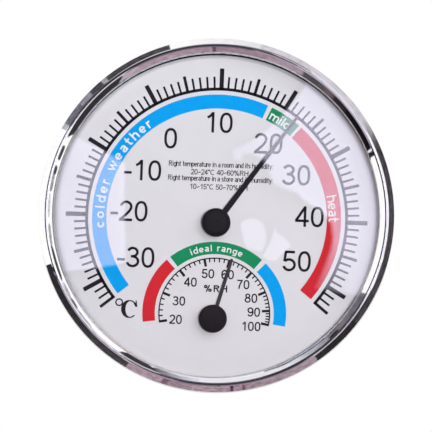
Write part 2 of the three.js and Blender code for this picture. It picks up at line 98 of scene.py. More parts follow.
# Replaces each corner (r, y, radius) by an arc that touches both its sides; the arc's points turn
# evenly from the first touching point to the second round the arc's centre, and one more point
# beside each end keeps the flat next to it flat in shading.
def rounded(corners, closed=True, steps=7):
    spots = np.array([c[:2] for c in corners], float)
    line = []
    for i, corner in enumerate(corners):
        radius = corner[2] if len(corner) > 2 else 0
        if radius == 0 or (not closed and i in (0, len(corners) - 1)):
            line.append(spots[i : i + 1])
            continue
        u = spots[i - 1] - spots[i]
        v = spots[(i + 1) % len(spots)] - spots[i]
        lengthU, lengthV = np.hypot(*u), np.hypot(*v)
        u, v = u / lengthU, v / lengthV
        half = math.acos(np.clip(u @ v, -1, 1)) / 2
        reach = min(radius / math.tan(half), 0.49 * lengthU, 0.49 * lengthV)
        centre = spots[i] + (u + v) / np.linalg.norm(u + v) * reach / math.cos(half)
        a, b = spots[i] + u * reach - centre, spots[i] + v * reach - centre
        sweep = math.pi - 2 * half
        t = np.linspace(0, 1, steps)[:, None]
        arc = centre + (np.sin((1 - t) * sweep) * a + np.sin(t * sweep) * b) / math.sin(sweep)
        beside = [spots[i] + w * min(1.3 * reach, 0.5 * length) for w, length in ((u, lengthU), (v, lengthV))]
        line.append(np.concatenate([beside[:1], arc, beside[1:]]))
    return np.concatenate(line)


# Adds even steps to the sides of a closed outline, so that none is longer than the given length.
def divided(line, longest):
    parts = []
    for a, b in zip(line, np.roll(line, -1, 0)):
        count = max(1, math.ceil(np.hypot(*(b - a)) / longest))
        parts.append(a + (b - a) * (np.arange(count) / count)[:, None])
    return np.concatenate(parts)


# An outline of (radius, y) turned about an axis along Y: x = radius cos t, z = radius sin t.
def turned(outline, steps=360, centre=(0, 0), closed=True):
    t = np.linspace(0, 2 * np.pi, steps, endpoint=False)[:, None]
    r, y = np.asarray(outline, float).T
    points = np.stack([centre[0] + r * np.cos(t), y + 0 * t, centre[1] + r * np.sin(t)], -1)
    return points.reshape(-1, 3), gridFaces(steps, len(r), True, closed)


# A section carried along a line in the dial's plane. A section point is (share of half the width, y),
# and it lies off the line along the mitre of the line's two directions there.
def carried(line, width, section, closed=False):
    line = np.asarray(line, float)
    before, after = np.roll(line, 1, 0), np.roll(line, -1, 0)
    if not closed:
        before[0], after[-1] = 2 * line[0] - line[1], 2 * line[-1] - line[-2]
    into, out = line - before, after - line
    into /= np.linalg.norm(into, axis=1)[:, None]
    out /= np.linalg.norm(out, axis=1)[:, None]
    mean = into + out
    mean /= np.linalg.norm(mean, axis=1)[:, None]
    stretch = np.clip((mean * into).sum(1), 0.5, 1)
    across = np.stack([-mean[:, 1], mean[:, 0]], 1) / stretch[:, None]
    half = np.broadcast_to(np.asarray(width, float) / 2, len(line))
    share, y = np.asarray(section, float).T
    flat = line[:, None] + across[:, None] * (half[:, None] * share)[..., None]
    points = np.stack([flat[..., 0], np.broadcast_to(y, flat.shape[:2]), flat[..., 1]], -1)
    faces = gridFaces(len(line), len(share), closed, True).tolist()
    if not closed:
        first = list(range(len(share)))
        faces += [first[::-1], [(len(line) - 1) * len(share) + k for k in first]]
    return points.reshape(-1, 3), faces


# Several shapes as one list of points and faces.
def gathered(*shapes):
    points, faces, start = [], [], 0
    for somePoints, someFaces in shapes:
        points.append(somePoints)
        faces += (np.asarray(f) + start for f in someFaces)
        start += len(somePoints)
    return np.concatenate(points), [f.tolist() for f in faces]


# A new object in the scene.
def newObject(name, data):
    thing = bpy.data.objects.new(name, data)
    bpy.context.collection.objects.link(thing)
    return thing


# A plate from flat outlines: rings of (x, z), the first its edge and the others holes, thickened from
# front to back with its edges cut by the bevel. A filled curve object gives the points and faces.
def flatPlate(outlines, front, back, bevel):
    curve = bpy.data.curves.new("outline", "CURVE")
    curve.dimensions, curve.fill_mode = "2D", "BOTH"
    curve.extrude = (back - front) / 2 - bevel
    curve.bevel_depth, curve.bevel_resolution, curve.offset = bevel, 2, -bevel
    for ring in outlines:
        spline = curve.splines.new("POLY")
        spline.points.add(len(ring) - 1)
        flat = np.column_stack([ring, np.zeros(len(ring)), np.ones(len(ring))])
        spline.points.foreach_set("co", flat.ravel())
        spline.use_cyclic_u = True
    thing = newObject("outline", curve)
    bpy.context.view_layer.update()
    mesh = bpy.data.meshes.new_from_object(thing)
    points = np.empty(len(mesh.vertices) * 3)
    mesh.vertices.foreach_get("co", points)
    faces = [list(f.vertices) for f in mesh.polygons]
    bpy.data.objects.remove(thing)
    bpy.data.meshes.remove(mesh)
    x, z, y = points.reshape(-1, 3).T
    return np.stack([x, (front + back) / 2 - y, z], 1), faces


# Makes a piece from points in millimetres: doubles merged, faces outward, edges sharper than the
# angle kept sharp, riding on its body and standing for the CAD nodes named.
def makePiece(name, shape, material, body, standsFor=(), sharp=35):
    points, faces = shape
    mesh = bpy.data.meshes.new(name)
    mesh.from_pydata(
        (np.asarray(points) * mm).tolist(), [], faces.tolist() if hasattr(faces, "tolist") else faces
    )
    work = bmesh.new()
    work.from_mesh(mesh)
    bmesh.ops.remove_doubles(work, verts=work.verts, dist=1e-7)
    bmesh.ops.recalc_face_normals(work, faces=work.faces)
    work.to_mesh(mesh)
    work.free()
    mesh.polygons.foreach_set("use_smooth", np.ones(len(mesh.polygons), bool))
    mesh.set_sharp_from_angle(angle=math.radians(sharp))
    mesh.materials.append(material)
    piece = newObject(name, mesh)
    if body is None:
        return piece
    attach(piece, body)
    if standsFor:
        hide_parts(*standsFor)
    return piece


# A node of the given type with its settings, and its inputs linked or set by name or number.
def addNode(tree, kind, settings=None, **links):
    made = tree.nodes.new("ShaderNode" + kind)
    for key, value in (settings or {}).items():
        setattr(made, key, value)
    for key, value in links.items():
        socket = made.inputs[int(key[1:])] if key[0] == "i" and key[1:].isdigit() else made.inputs[key]
        if isinstance(value, bpy.types.NodeSocket):
            tree.links.new(value, socket)
        else:
            socket.default_value = value
    return made


# A Principled material with plain values set on the shader's own sockets.
def newMaterial(name, values):
    material = bpy.data.materials.new(name)
    material.use_nodes = True
    shader = material.node_tree.nodes["Principled BSDF"]
    for key, value in values.items():
        shader.inputs[key].default_value = value
    return material, material.node_tree, shader


# Object coordinates moved so that the given place, in millimetres, is their origin.
def coordinates(tree, centre=(0, 0, 0)):
    place = addNode(tree, "TexCoord").outputs["Object"]
    shift = [-c * mm for c in centre]
    return addNode(tree, "Mapping", i0=place, i1=shift).outputs[0]


# Noise whose grains are about the given size in millimetres.
def noise(tree, place, size, detail=3.0, roughness=0.55):
    links = {"Vector": place, "Scale": 1 / (size * mm), "Detail": detail, "Roughness": roughness}
    return addNode(tree, "TexNoise", **links).outputs["Fac"]


noiseSpan = (0.3, 0.7)  # nearly all of a noise's values lie between these


# A value mapped from the noise's span to the range low..high.
def ranged(tree, value, low, high):
    made = addNode(tree, "MapRange", i0=value, i1=noiseSpan[0], i2=noiseSpan[1], i3=low, i4=high)
    return made.outputs[0]


# Colour that goes from one to another over the noise's span.
def blended(tree, value, first, second):
    ramp = addNode(tree, "ValToRGB", i0=value)
    for stop, position, colour in zip(ramp.color_ramp.elements, noiseSpan, (first, second)):
        stop.position = position
        stop.color = (*colour, 1)
    return ramp.outputs["Color"]


# Bumps of a height in millimetres on the shader, after those already there.
def bumped(tree, shader, value, height):
    bump = addNode(tree, "Bump", Height=value, Distance=height * mm, Strength=1)
    if shader.inputs["Normal"].links:
        tree.links.new(shader.inputs["Normal"].links[0].from_socket, bump.inputs["Normal"])
    tree.links.new(bump.outputs["Normal"], shader.inputs["Normal"])


# One step of arithmetic on values.
def worked(tree, operation, *values):
    inputs = {f"i{number}": value for number, value in enumerate(values)}
    return addNode(tree, "Math", {"operation": operation}, **inputs).outputs[0]


# Fine rings left by a tool on a turned or spun face: noise along the axis and the radius only, the
# radius being the root of x^2 + z^2 from the centre.
def toolRings(tree, centre, pitch):
    x, y, z = addNode(tree, "SeparateXYZ", i0=coordinates(tree, centre)).outputs
    squares = worked(tree, "ADD", worked(tree, "MULTIPLY", x, x), worked(tree, "MULTIPLY", z, z))
    radius = worked(tree, "SQRT", squares)
    line = addNode(tree, "CombineXYZ", i0=radius, i1=y, i2=0.0).outputs[0]
    return noise(tree, line, pitch, 2.0)


# Scales a linear colour's channels by one factor each way, for light and dark grains.
def shades(colour, spread):
    return [tuple(min(1.0, c * f) for c in colour) for f in (1 - spread, 1 + spread)]


# Colour and roughness that each go between two values with a noise, and bumps of a height.
def dress(tree, shader, blotches, colours, grains, roughness, bumps, height):
    tree.links.new(blended(tree, blotches, *colours), shader.inputs["Base Color"])
    tree.links.new(ranged(tree, grains, *roughness), shader.inputs["Roughness"])
    bumped(tree, shader, bumps, height)


# Bright chrome on spun steel: faint waves round the ring, fine spinning rings and a breath of haze.
def makeChrome():
    material, tree, shader = newMaterial("chromeOnSpunSteel", {"Metallic": 1.0})
    place = coordinates(tree)
    colours = (0.84, 0.83, 0.85), (0.88, 0.875, 0.885)
    dress(tree, shader, noise(tree, place, 2.5), colours, noise(tree, place, 9.0, 4.0), (0.02, 0.06),
          noise(tree, place, 14.0, 1.0), 0.05)
    bumped(tree, shader, toolRings(tree, (0, 0, 0), 0.35), 0.0012)
    return material


# Clear flat glass: lamps pass straight through it, and it has the faint waves of drawn glass.
def makeGlass():
    material, tree, shader = newMaterial(
        "clearDrawnGlass",
        {"Base Color": (0.985, 0.995, 0.99, 1), "Transmission Weight": 1.0, "IOR": 1.5, "Roughness": 0.0},
    )
    bumped(tree, shader, noise(tree, coordinates(tree), 22.0, 1.0), 0.004)
    clear = addNode(tree, "BsdfTransparent").outputs[0]
    isShadow = addNode(tree, "LightPath").outputs["Is Shadow Ray"]
    mix = addNode(tree, "MixShader", i0=isShadow, i1=shader.outputs[0], i2=clear)
    tree.links.new(mix.outputs[0], tree.nodes["Material Output"].inputs["Surface"])
    return material


# The dial's satin enamel: off-white, mottled very faintly, with a fine orange-peel.
def makeEnamel():
    material, tree, shader = newMaterial("offWhiteEnamel", {"Specular IOR Level": 0.35})
    place = coordinates(tree)
    dress(tree, shader, noise(tree, place, 7.0, 5.0), shades((0.745, 0.722, 0.765), 0.012),
          noise(tree, place, 0.6), (0.42, 0.55), noise(tree, place, 0.25, 2.0), 0.004)
    return material


# Screen-printed ink: the colour a little uneven as its film is, with a fine weave of the screen.
def makeInk(name, colour, spread=0.05, roughness=0.42):
    material, tree, shader = newMaterial(name, {"Specular IOR Level": 0.06})
    place = coordinates(tree)
    dress(tree, shader, noise(tree, place, 1.1, 4.0), shades(colour, spread), noise(tree, place, 0.4),
          (roughness - 0.07, roughness + 0.07), noise(tree, place, 0.16, 1.0), 0.002)
    return material


# Moulded plastic with the grain of a spark-eroded mould, and flow shades that are barely there.
def makePlastic(name, colour, grain, height, roughness, spread=0.02):
    material, tree, shader = newMaterial(name, {"Specular IOR Level": 0.45})
    place = coordinates(tree)
    dress(tree, shader, noise(tree, place, 12.0), shades(colour, spread), noise(tree, place, grain * 3),
          (roughness - 0.06, roughness + 0.06), noise(tree, place, grain), height)
    return material


# Metal that was drawn, rolled or plated: stretched noise along one axis and a blotchy plate.
def makeRolled(name, colour, second, stretch, roughness):
    material, tree, shader = newMaterial(name, {"Metallic": 1.0})
    place = coordinates(tree)
    lines = noise(tree, addNode(tree, "Mapping", i0=place, i3=stretch).outputs[0], 0.12, 2.0)
    dress(tree, shader, noise(tree, place, 3.0, 4.0), (colour, second), lines,
          (roughness - 0.08, roughness + 0.1), lines, 0.002)
    return material


# Turned metal: rings of the tool about the part's own axis.
def makeTurned(name, colour, second, centre, roughness):
    material, tree, shader = newMaterial(name, {"Metallic": 1.0})
    rings = toolRings(tree, (centre[0], 0, centre[1]), 0.12)
    dress(tree, shader, noise(tree, coordinates(tree), 1.5, 4.0), (colour, second), rings,
          (roughness - 0.07, roughness + 0.1), rings, 0.0025)
    return material


hubPlaces = {kind: middleOf(f"{kind}_spindle") for kind in ("temperature", "humidity")}
chrome = makeChrome()
glass = makeGlass()
enamel = makeEnamel()
inks = {
    "black": makeInk("blackInk", (0.0190, 0.0165, 0.0235)),
    "blue": makeInk("blueInk", (0.004, 0.355, 0.87)),
    "green": makeInk("greenInk", (0.013, 0.262, 0.112)),
    "red": makeInk("redInk", (0.645, 0.026, 0.038)),
    "white": makeInk("whiteInk", (0.80, 0.80, 0.82), 0.03),
}
rubber = makePlastic("blackRubber", (0.012, 0.011, 0.012), 0.25, 0.006, 0.78)
whitePlastic = makePlastic("whitePlastic", (0.70, 0.68, 0.71), 0.5, 0.004, 0.45)
casePlastic = makePlastic("casePlastic", (0.78, 0.775, 0.765), 0.45, 0.012, 0.5)
coverPlastic = makePlastic("coverPlastic", (0.755, 0.75, 0.74), 0.45, 0.014, 0.52)
capPlastic = makePlastic("blackCapPlastic", (0.0115, 0.0095, 0.0125), 0.7, 0.0015, 0.34, 0.1)
dullCapPlastic = makePlastic("dullCapPlastic", (0.0175, 0.0125, 0.0155), 0.7, 0.0015, 0.42, 0.1)
needlePaint = makeInk("needlePaint", (0.0200, 0.0175, 0.0235), 0.05, 0.4)
thinnerPaint = makeInk("thinnerNeedlePaint", (0.056, 0.047, 0.056), 0.05, 0.4)
zincPlate = makeRolled("zincPlate", (0.50, 0.51, 0.54), (0.60, 0.60, 0.60), (1, 1, 8), 0.34)
stampedSteel = makeRolled("stampedSteel", (0.48, 0.49, 0.52), (0.56, 0.56, 0.57), (1, 8, 8), 0.38)
nickelPlate = makeRolled("nickelPlate", (0.60, 0.585, 0.56), (0.66, 0.645, 0.62), (1, 4, 1), 0.26)
bimetal = makeRolled("bimetalStrip", (0.62, 0.42, 0.16), (0.74, 0.55, 0.27), (1, 8, 1), 0.36)
coatedStrip = makeRolled("coatedStrip", (0.52, 0.54, 0.55), (0.66, 0.67, 0.66), (1, 8, 1), 0.55)
brass = {
    kind: makeTurned(f"{kind}Brass", (0.66, 0.46, 0.17), (0.76, 0.57, 0.26), place, 0.28)
    for kind, place in hubPlaces.items()
}
groundSteel = {
    kind: makeTurned(f"{kind}GroundSteel", (0.58, 0.59, 0.61), (0.66, 0.66, 0.67), place, 0.2)
    for kind, place in hubPlaces.items()
}
print("materials made")

# The CAD nodes keep their shapes and take their finish by the record's slots.
slotOf = {part["node"]: part["material_slot"] for part in frame["record"]["subparts"]}
finishes = {
    "chromed_ring": chrome, "black_rubber": rubber, "clear_glass": glass, "white_plastic": whitePlastic,
    "dial_enamel": enamel, "case_plastic": casePlastic, "cover_plastic": coverPlastic,
    "screw_steel": zincPlate, "bridge_steel": stampedSteel, "nut_steel": nickelPlate,
    "temperature_coil_metal": bimetal, "humidity_coil_metal": coatedStrip,
    "needle_paint": needlePaint, "black_plastic": capPlastic,
}
for name, thing in nodes.items():
    kind = name.split("_")[0]
    slot = slotOf[name]
    own = {"brass": brass, "spindle_steel": groundSteel}.get(slot)
    thing.data.materials.clear()
    thing.data.materials.append(own[kind] if own else finishes[slot])
print("finishes given to the CAD nodes")

bezel = {
    "crestRadius": 63.0, "windowRadius": 60.2, "widestDepth": 2.1, "windowDepth": 2.0, "sheet": 0.6,
    "crestRounding": 1.2, "edgeRounding": 0.6, "rolledEdge": 0.42, "lipReturn": 0.9, "crimpWidth": 1.5,
    "bulge": 0.035, "steps": 540,
}
gasket = {"innerRadius": 60.3, "rounding": 0.25}
spacer = {"topRadius": 60.7, "footRadius": 59.7, "footEdge": 0.12, "hollowHeight": 0.6}
lens = {
    "edgeRounding": 0.25, "borderInner": 60.67, "borderOuter": 63.8, "borderCentre": (0, -0.7),
    "borderFilm": 0.04,
}


# The bezel's section: two slopes, each bowed out in its middle by the bulge, that aim at a point and
# meet there in a rounded crest, a straight skirt, a crimped edge and a folded lip.
def bezelSection(b, aimed):
    front, back, radius = reachOf("bezel_ring")
    inner, widest = radius - b["sheet"], front + b["widestDepth"]
    window = front + b["windowDepth"]

    def bowed(r, y, side):
        middle = np.array([(r + b["crestRadius"]) / 2, (y + aimed) / 2])
        along = np.array([r - b["crestRadius"], y - aimed])
        off = np.array([side * along[1], -side * along[0]]) / np.hypot(*along)
        return (*(middle + b["bulge"] * off), 60)

    ground = (b["crestRadius"] - b["windowRadius"]) / (window - aimed)
    rolled = lean((b["windowRadius"], window + b["sheet"]), (b["windowRadius"], window + 0.05),
                  (b["windowRadius"] + b["rolledEdge"], window - b["rolledEdge"] / ground), 9)
    return rounded([
        *rolled.tolist(),
        bowed(b["windowRadius"], window, -1),
        (b["crestRadius"], aimed, b["crestRounding"]),
        bowed(radius, widest, 1),
        (radius, widest, b["edgeRounding"]),
        (radius, back, 0.6),
        (radius - b["crimpWidth"], back, 0.12),
        (radius - b["crimpWidth"], back - b["sheet"], 0.12),
        (inner, back - b["sheet"], 0.3),
        (inner, widest + 0.2, 0.3),
        (b["crestRadius"], front + 0.8, 0.3),
        (b["windowRadius"] + b["lipReturn"], window + b["sheet"] + 0.1, 0.1),
    ])


# The section turned round. The point aimed at lies as far before the bezel's front as rounding
# takes away there, so that the crest just reaches the front.
def makeBezel(b):
    front = reachOf("bezel_ring")[0]
    aimed = front
    for _ in range(3):
        aimed += front - bezelSection(b, aimed)[:, 1].min()
    outline = divided(bezelSection(b, aimed), 0.6)
    outline[:, 1] = np.maximum(outline[:, 1], front)
    makePiece(
        "chromed_bezel", turned(outline, b["steps"]), chrome, "housing", ["bezel_ring"]
    )


# The gasket is a flat ring with rounded corners, its section turned round.
def makeGasket(g):
    front, back, radius = reachOf("lens_gasket")
    places = [(g["innerRadius"], front), (radius, front), (radius, back), (g["innerRadius"], back)]
    outline = rounded([(*place, g["rounding"]) for place in places])
    makePiece("window_gasket", turned(outline), rubber, "housing", ["lens_gasket"])


# The white ring between dial and glass; its inner wall leans into the dial in a hollow curve.
def makeSpacer(r):
    front, back, radius = reachOf("spacer_ring")
    top, foot = r["topRadius"], r["footRadius"]
    wall = lean((foot, back - r["footEdge"]), (top, back - r["hollowHeight"]), (top, front + 0.3), 14)
    ring = rounded([
        (top, front, 0.2), (radius, front, 0.25), (radius, back, 0.25), (foot, back),
    ], closed=False)
    outline = np.concatenate([ring, wall])
    makePiece("white_spacer", turned(outline), whitePlastic, "housing", ["spacer_ring"])


# The lens is a disc with a ground edge, its outline turned round with both ends on the axis. A black
# ring lies on its back about the window's edge, a little off the middle, so that it shows as a dark
# line at the window's edge, most at its top.
def makeLens(g):
    front, back, radius = reachOf("lens")
    edge = g["edgeRounding"]
    outline = rounded([
        (0, front), (radius, front, edge), (radius, back, edge), (0, back),
    ], closed=False, steps=4)
    makePiece("window_glass", turned(outline, closed=False), glass, "housing", ["lens"])
    near, far = back + 0.002, back + g["borderFilm"]
    border = [(g["borderInner"], near), (g["borderOuter"], near), (g["borderOuter"], far),
              (g["borderInner"], far)]
    makePiece("window_dark_edge_ring", turned(border, centre=g["borderCentre"]), inks["black"], "housing")


makeBezel(bezel)
makeGasket(gasket)
makeSpacer(spacer)
makeLens(lens)
print("bezel and window made")

dialFront = reachOf("dial_plate")[0]
printLayer = 0.03  # ink film, in millimetres
bigDial = {
    "centre": (0.1, -0.4), "tickStep": 1,
    "angles": {-33: 219.5, -30: 210.45, -20: 180.35, -10: 150.05, 0: 119.85, 10: 89.85, 20: 59.9,
               30: 29.9, 40: -0.1, 50: -30.0, 53: -39.0},
    "arcInner": 48.0, "arcWidth": 1.12, "tickStart": 48.1,
    "ticks": {"ten": (56.4, 1.62), "five": (54.7, 1.12), "minor": (53.3, 0.78)},  # end, width
    "endTick": "five", "bandInner": 41.2, "bandOuter": 46.5,
    "bands": [("blue", 219.5, 67.3875), ("green", 65.44075, 50.3), ("red", 48.95, -39.0)],
    "words": [
        ("colder weather", 3.7, 46.0, 156.6, 0.17, 0), ("mild", 3.5, 8.6, 58.9, 0.17, 0),
        ("heat", 3.8, 10.2, 6.5, 0.135, -0.1),
    ],  # text, height, width, angle of its middle, stroke, shift outward
    "numberHeight": 7.75, "numberWeight": 1.0,
    "numbers": {
        "10": (-0.45, 35.9), "0": (-18.25, 29.35), "-10": (-28.15, 16.95), "-20": (-32.7, 1.5),
        "-30": (-29.5, -15.75), "20": (18.45, 28.65), "30": (29.25, 17.15), "40": (34.75, 1.65),
        "50": (30.45, -15.2),
    },
}
smallDial = {
    "centre": (0.45, -36.15), "tickStep": 2,
    "angles": {20: 190.3, 30: 160.0, 40: 130.5, 50: 102.2, 60: 75.9, 70: 49.7, 80: 24.7, 90: 4.6,
               100: -10.1},
    "arcInner": 20.37, "arcWidth": 0.48, "tickStart": 20.8,
    "ticks": {"ten": (17.75, 0.95), "minor": (19.15, 0.5)}, "endTick": "ten",
    "bandInner": 22.15, "bandOuter": 26.8,
    "bands": [("red", 188.7, 133.3), ("green", 129.9, 50.2), ("blue", 46.2, -8.7)],
    "words": [("ideal range", 2.5, 20.2, 90, 0.165, 0)], "unit": ("%RH", 2.6, 8.9, (0.2, 9.25), 0.2),
    "numberHeight": 3.4, "numberWeight": 1.22,
    "numbers": {
        "20": (-14.3, -2.7), "30": (-13.3, 4.2), "40": (-9.25, 11.4), "50": (-2.85, 14.75),
        "60": (4.5, 14.65), "70": (10.4, 11.15), "80": (13.5, 6.15), "90": (14.7, 1.0),
        "100": (13.8, -4.35),
    },
}


# The rectangular section of a print: half its width each way, and from just off the dial to the
# height of its layer of ink.
def inkSection(layer=1):
    front = dialFront - printLayer * layer
    back = dialFront - 0.002
    return [(-1, front), (1, front), (1, back), (-1, back)]


# A print along an arc: the section carried along points at even angles on a circle.
def arcPrint(centre, radius, width, fromAngle, toAngle):
    count = max(3, int(abs(toAngle - fromAngle) / 1.2))
    line = oval(centre, (radius, radius), fromAngle, toAngle, count)
    return carried(line, width, inkSection())


# A straight print along the radius at an angle, between two radii.
def tickPrint(centre, fromRadius, toRadius, angle, width):
    line = np.array(centre) + np.outer([fromRadius, toRadius], direction(angle))
    return carried(line, width, inkSection())


# A straight stroke that stands upright.
def upright(x, low, high):
    return [(x, low), (x, high)]


# A straight stroke that lies level.
def level(fromX, toX, z):
    return [(fromX, z), (toX, z)]


# Strokes as pairs of a middle line and whether it is closed, the closed ones first.
def strokes(*openLines, closed=()):
    return [(line, True) for line in closed] + [(line, False) for line in openLines]


numberStroke = 0.126  # width of a number's stroke, as a share of its height
numberWidth = 0.728  # how far the next sign is, and for a minus sign below
minusWidth = 0.41


# The strokes of each digit and the minus sign, in units of their height, with the middle of the foot
# at the origin. A 9 is a 6 turned half round: (0, 1) minus its points.
def numberStrokes(w):
    top, foot, mid = 1 - w / 2, w / 2, 0.5
    hook = oval((0, 0.698), (0.245, top - 0.698), 170, -18, 24)
    slide = lean(hook[-1], (0.17, 0.44), (-0.265, 0.085), 12)
    upperThree = oval((-0.01, 0.737), (0.222, top - 0.737), 163, -88, 24)
    lowerThree = oval((-0.01, 0.296), (0.266, 0.296 - foot), 88, -166, 26)
    bowl = oval((-0.005, 0.318), (0.266, 0.318 - foot), 140, -165, 28)
    ring = oval((0.008, 0.315), (0.256, 0.315 - foot), 0, 350, 36)
    back = oval((0.02, mid), (0.284, top - mid), 212, 36, 28, 2.15)
    leg = lean((0.262, 0.925), (-0.02, 0.60), (-0.09, 0.0), 14)
    eights = [oval((0, 0.742), (0.203, top - 0.742), 0, 350, 32),
              oval((0, 0.294), (0.262, 0.294 - foot), 0, 350, 36)]
    return {
        "-": strokes(level(-0.185, 0.185, 0.37)),
        "0": strokes(closed=[oval((0, mid), (0.247, top - mid), 0, 352.5, 48, 2.35)]),
        "1": strokes(upright(0.085, 0, 1), lean((-0.185, 0.735), (-0.02, 0.80), (0.065, 0.95))),
        "2": strokes(np.concatenate([hook, slide[1:]]), level(-0.325, 0.31, foot)),
        "3": strokes(upperThree, lowerThree, level(-0.10, 0.01, 0.533)),
        "4": strokes(upright(0.135, 0, 1), [(0.115, 0.93), (-0.285, 0.305)], level(-0.335, 0.325, 0.288)),
        "5": strokes(level(-0.215, 0.265, top), [(-0.172, 0.95), (-0.232, 0.475)], bowl),
        "6": strokes(back, closed=[ring]),
        "7": strokes(level(-0.3, 0.305, top), leg),
        "8": strokes(closed=eights),
        "9": strokes((0, 1) - back, closed=[(0, 1) - ring]),
    }


# A number as prints: each stroke an even strip along its middle line, its signs side by side.
def numberPrint(text, centre, height, weight):
    signs = numberStrokes(numberStroke)
    widths = [minusWidth if sign == "-" else numberWidth for sign in text]
    starts = np.cumsum([0] + widths)
    shapes = []
    for sign, start, width in zip(text, starts, widths):
        for line, closed in signs[sign]:
            middle = np.asarray(line, float) + (start + width / 2 - starts[-1] / 2, -0.5)
            line = np.array(centre) + middle * height
            shapes.append(carried(line, numberStroke * height * weight, inkSection(), closed))
    return shapes


# The strokes of a letter or sign in units of the capitals' height, and how far the next one is.
# w is the stroke's width; the small letters are 0.72 high, and their bowls are ovals.
def lettersOf(w):
    high, b, mid, side = 0.72, w / 2, 0.36, 0.235
    shoulder = high - b - 0.2
    bowl = oval((0, mid), (side, mid - b), 0, 350, 24)
    arch = np.concatenate([oval((0, shoulder), (side, 0.2), 180, 0, 10), [(side, 0)]])
    narrowArch = arch * (0.85, 1)
    bigBowl = np.concatenate([[(-0.28, 1 - b)], oval((0.03, 0.74), (0.25, 0.26 - b), 90, -90, 10),
                              [(-0.28, 0.48 + b)]])
    twoTurns = np.concatenate([oval((0, 0.52), (0.185, 0.2 - b), 35, 262, 12),
                               oval((0, 0.19), (0.2, 0.19 - b), 82, -145, 12)])
    hook = np.concatenate([oval((-0.01, 0.53), (0.2, 0.19 - b), 158, 0, 8), [(0.19, 0)]])
    belly = np.concatenate([[(0.19, 0.42)], oval((-0.03, 0.21), (0.18, 0.21 - b), 95, 270, 12),
                            [(0.1, b), (0.19, 0.12)]])
    descender = np.concatenate([[(side, high)], oval((0, -0.06), (side, 0.2 - b), 0, -150, 10)])
    tail = np.concatenate([[(-0.05, 0.98)], oval((0.12, 0.17), (0.17, 0.17 - b), 180, 285, 6)])
    zigzag = [(-0.41, high), (-0.2, b), (0, high - b), (0.2, b), (0.41, high)]
    across = np.linspace(-0.24, 0.24, 12)
    wave = np.stack([across, 0.42 + 0.07 * np.sin(across * 13)], 1)
    percentRings = [oval(place, (0.15, 0.25 - b), 0, 345, 14) for place in ((-0.28, 0.75), (0.28, 0.25))]
    degreeRing = oval((0, 0.84), (0.12, 0.16 - b), 0, 345, 14)
    return {
        "a": (0.60, strokes(hook, belly)),
        "c": (0.58, strokes(oval((0, mid), (side, mid - b), 46, 314, 20))),
        "d": (0.64, strokes(upright(side, 0, 1), closed=[bowl])),
        "e": (0.61, strokes(oval((0, mid), (side, mid - b), 0, 318, 22), level(-side, side, mid))),
        "g": (0.64, strokes(descender, closed=[bowl])),
        "h": (0.63, strokes(upright(-side, 0, 1), arch)),
        "i": (0.29, strokes(upright(0, 0, high), upright(0, 0.86, 1))),
        "l": (0.29, strokes(upright(0, 0, 1))),
        "m": (0.98, strokes(upright(-0.4, 0, high), narrowArch - (0.2, 0), narrowArch + (0.2, 0))),
        "n": (0.63, strokes(upright(-side, 0, high), arch)),
        "o": (0.62, strokes(closed=[bowl])),
        "p": (0.64, strokes(upright(-side, -0.27, high), closed=[bowl])),
        "r": (0.42, strokes(upright(-0.12, 0, high), oval((0.09, shoulder), (0.21, 0.2), 180, 68, 8))),
        "s": (0.55, strokes(twoTurns)),
        "t": (0.44, strokes(tail, level(-0.21, 0.2, high - b))),
        "u": (0.63, strokes(upright(side, 0, high), -arch + (0, high))),
        "w": (0.94, strokes(zigzag)),
        "y": (0.58, strokes([(-0.24, high), (0.01, b)], [(0.24, high), (-0.06, -0.16), (-0.2, -0.25)])),
        "C": (0.88, strokes(oval((0, 0.5), (0.34, 0.5 - b), 45, 315, 24))),
        "H": (0.84, strokes(upright(-0.29, 0, 1), upright(0.29, 0, 1), level(-0.29, 0.29, 0.53))),
        "R": (0.84, strokes(upright(-0.28, 0, 1), bigBowl, [(0.02, 0.48), (0.3, 0)])),
        "%": (1.06, strokes([(-0.2, 0), (0.2, 1)], closed=percentRings)),
        "~": (0.62, strokes(wave)),
        ":": (0.32, strokes(upright(0, 0, 0.14), upright(0, high - 0.14, high))),
        "\N{DEGREE SIGN}": (0.42, strokes(closed=[degreeRing])),
        " ": (0.34, strokes()),
    }


# Words printed straight or on an arc, spaced or narrowed to fit a width. On an arc a point at x
# along the line goes to the angle start - x / radius, and its height adds to the radius.
def wordPrint(text, height, width, place, weight, radius=None, layer=1):
    letters = lettersOf(weight)
    for digit, lines in numberStrokes(numberStroke).items():
        letters[digit] = (0.62, [(np.asarray(line, float) * (0.92, 1), closed) for line, closed in lines])
    signs = [letters[sign] for sign in text]
    starts = np.cumsum([0] + [advance for advance, _ in signs]) * height
    narrowing = min(1.12, width / starts[-1])
    starts *= narrowing
    gap = (width - starts[-1]) / (len(text) - 1)
    shapes = []
    for number, (_, lines) in enumerate(signs):
        middle = (starts[number] + starts[number + 1] - width) / 2 + number * gap
        for order, (line, closed) in enumerate(lines):
            x, z = (np.asarray(line, float) * height).T
            x, z = x * narrowing + middle, z - height / 2
            if radius:
                (centreX, centreZ), angle = place
                t, reach = math.radians(angle) - x / radius, radius + z
                x, z = centreX + reach * np.cos(t), centreZ + reach * np.sin(t)
            else:
                x, z = place[0] + x, place[1] + z
            section = inkSection(layer + 0.05 * order)
            shapes.append(carried(np.stack([x, z], 1), weight * height, section, closed))
    return gathered(*shapes)


# Several prints in one colour as a piece on the housing.
def printPiece(name, shapes, colour):
    makePiece(name, gathered(*shapes), inks[colour], "housing", sharp=30)


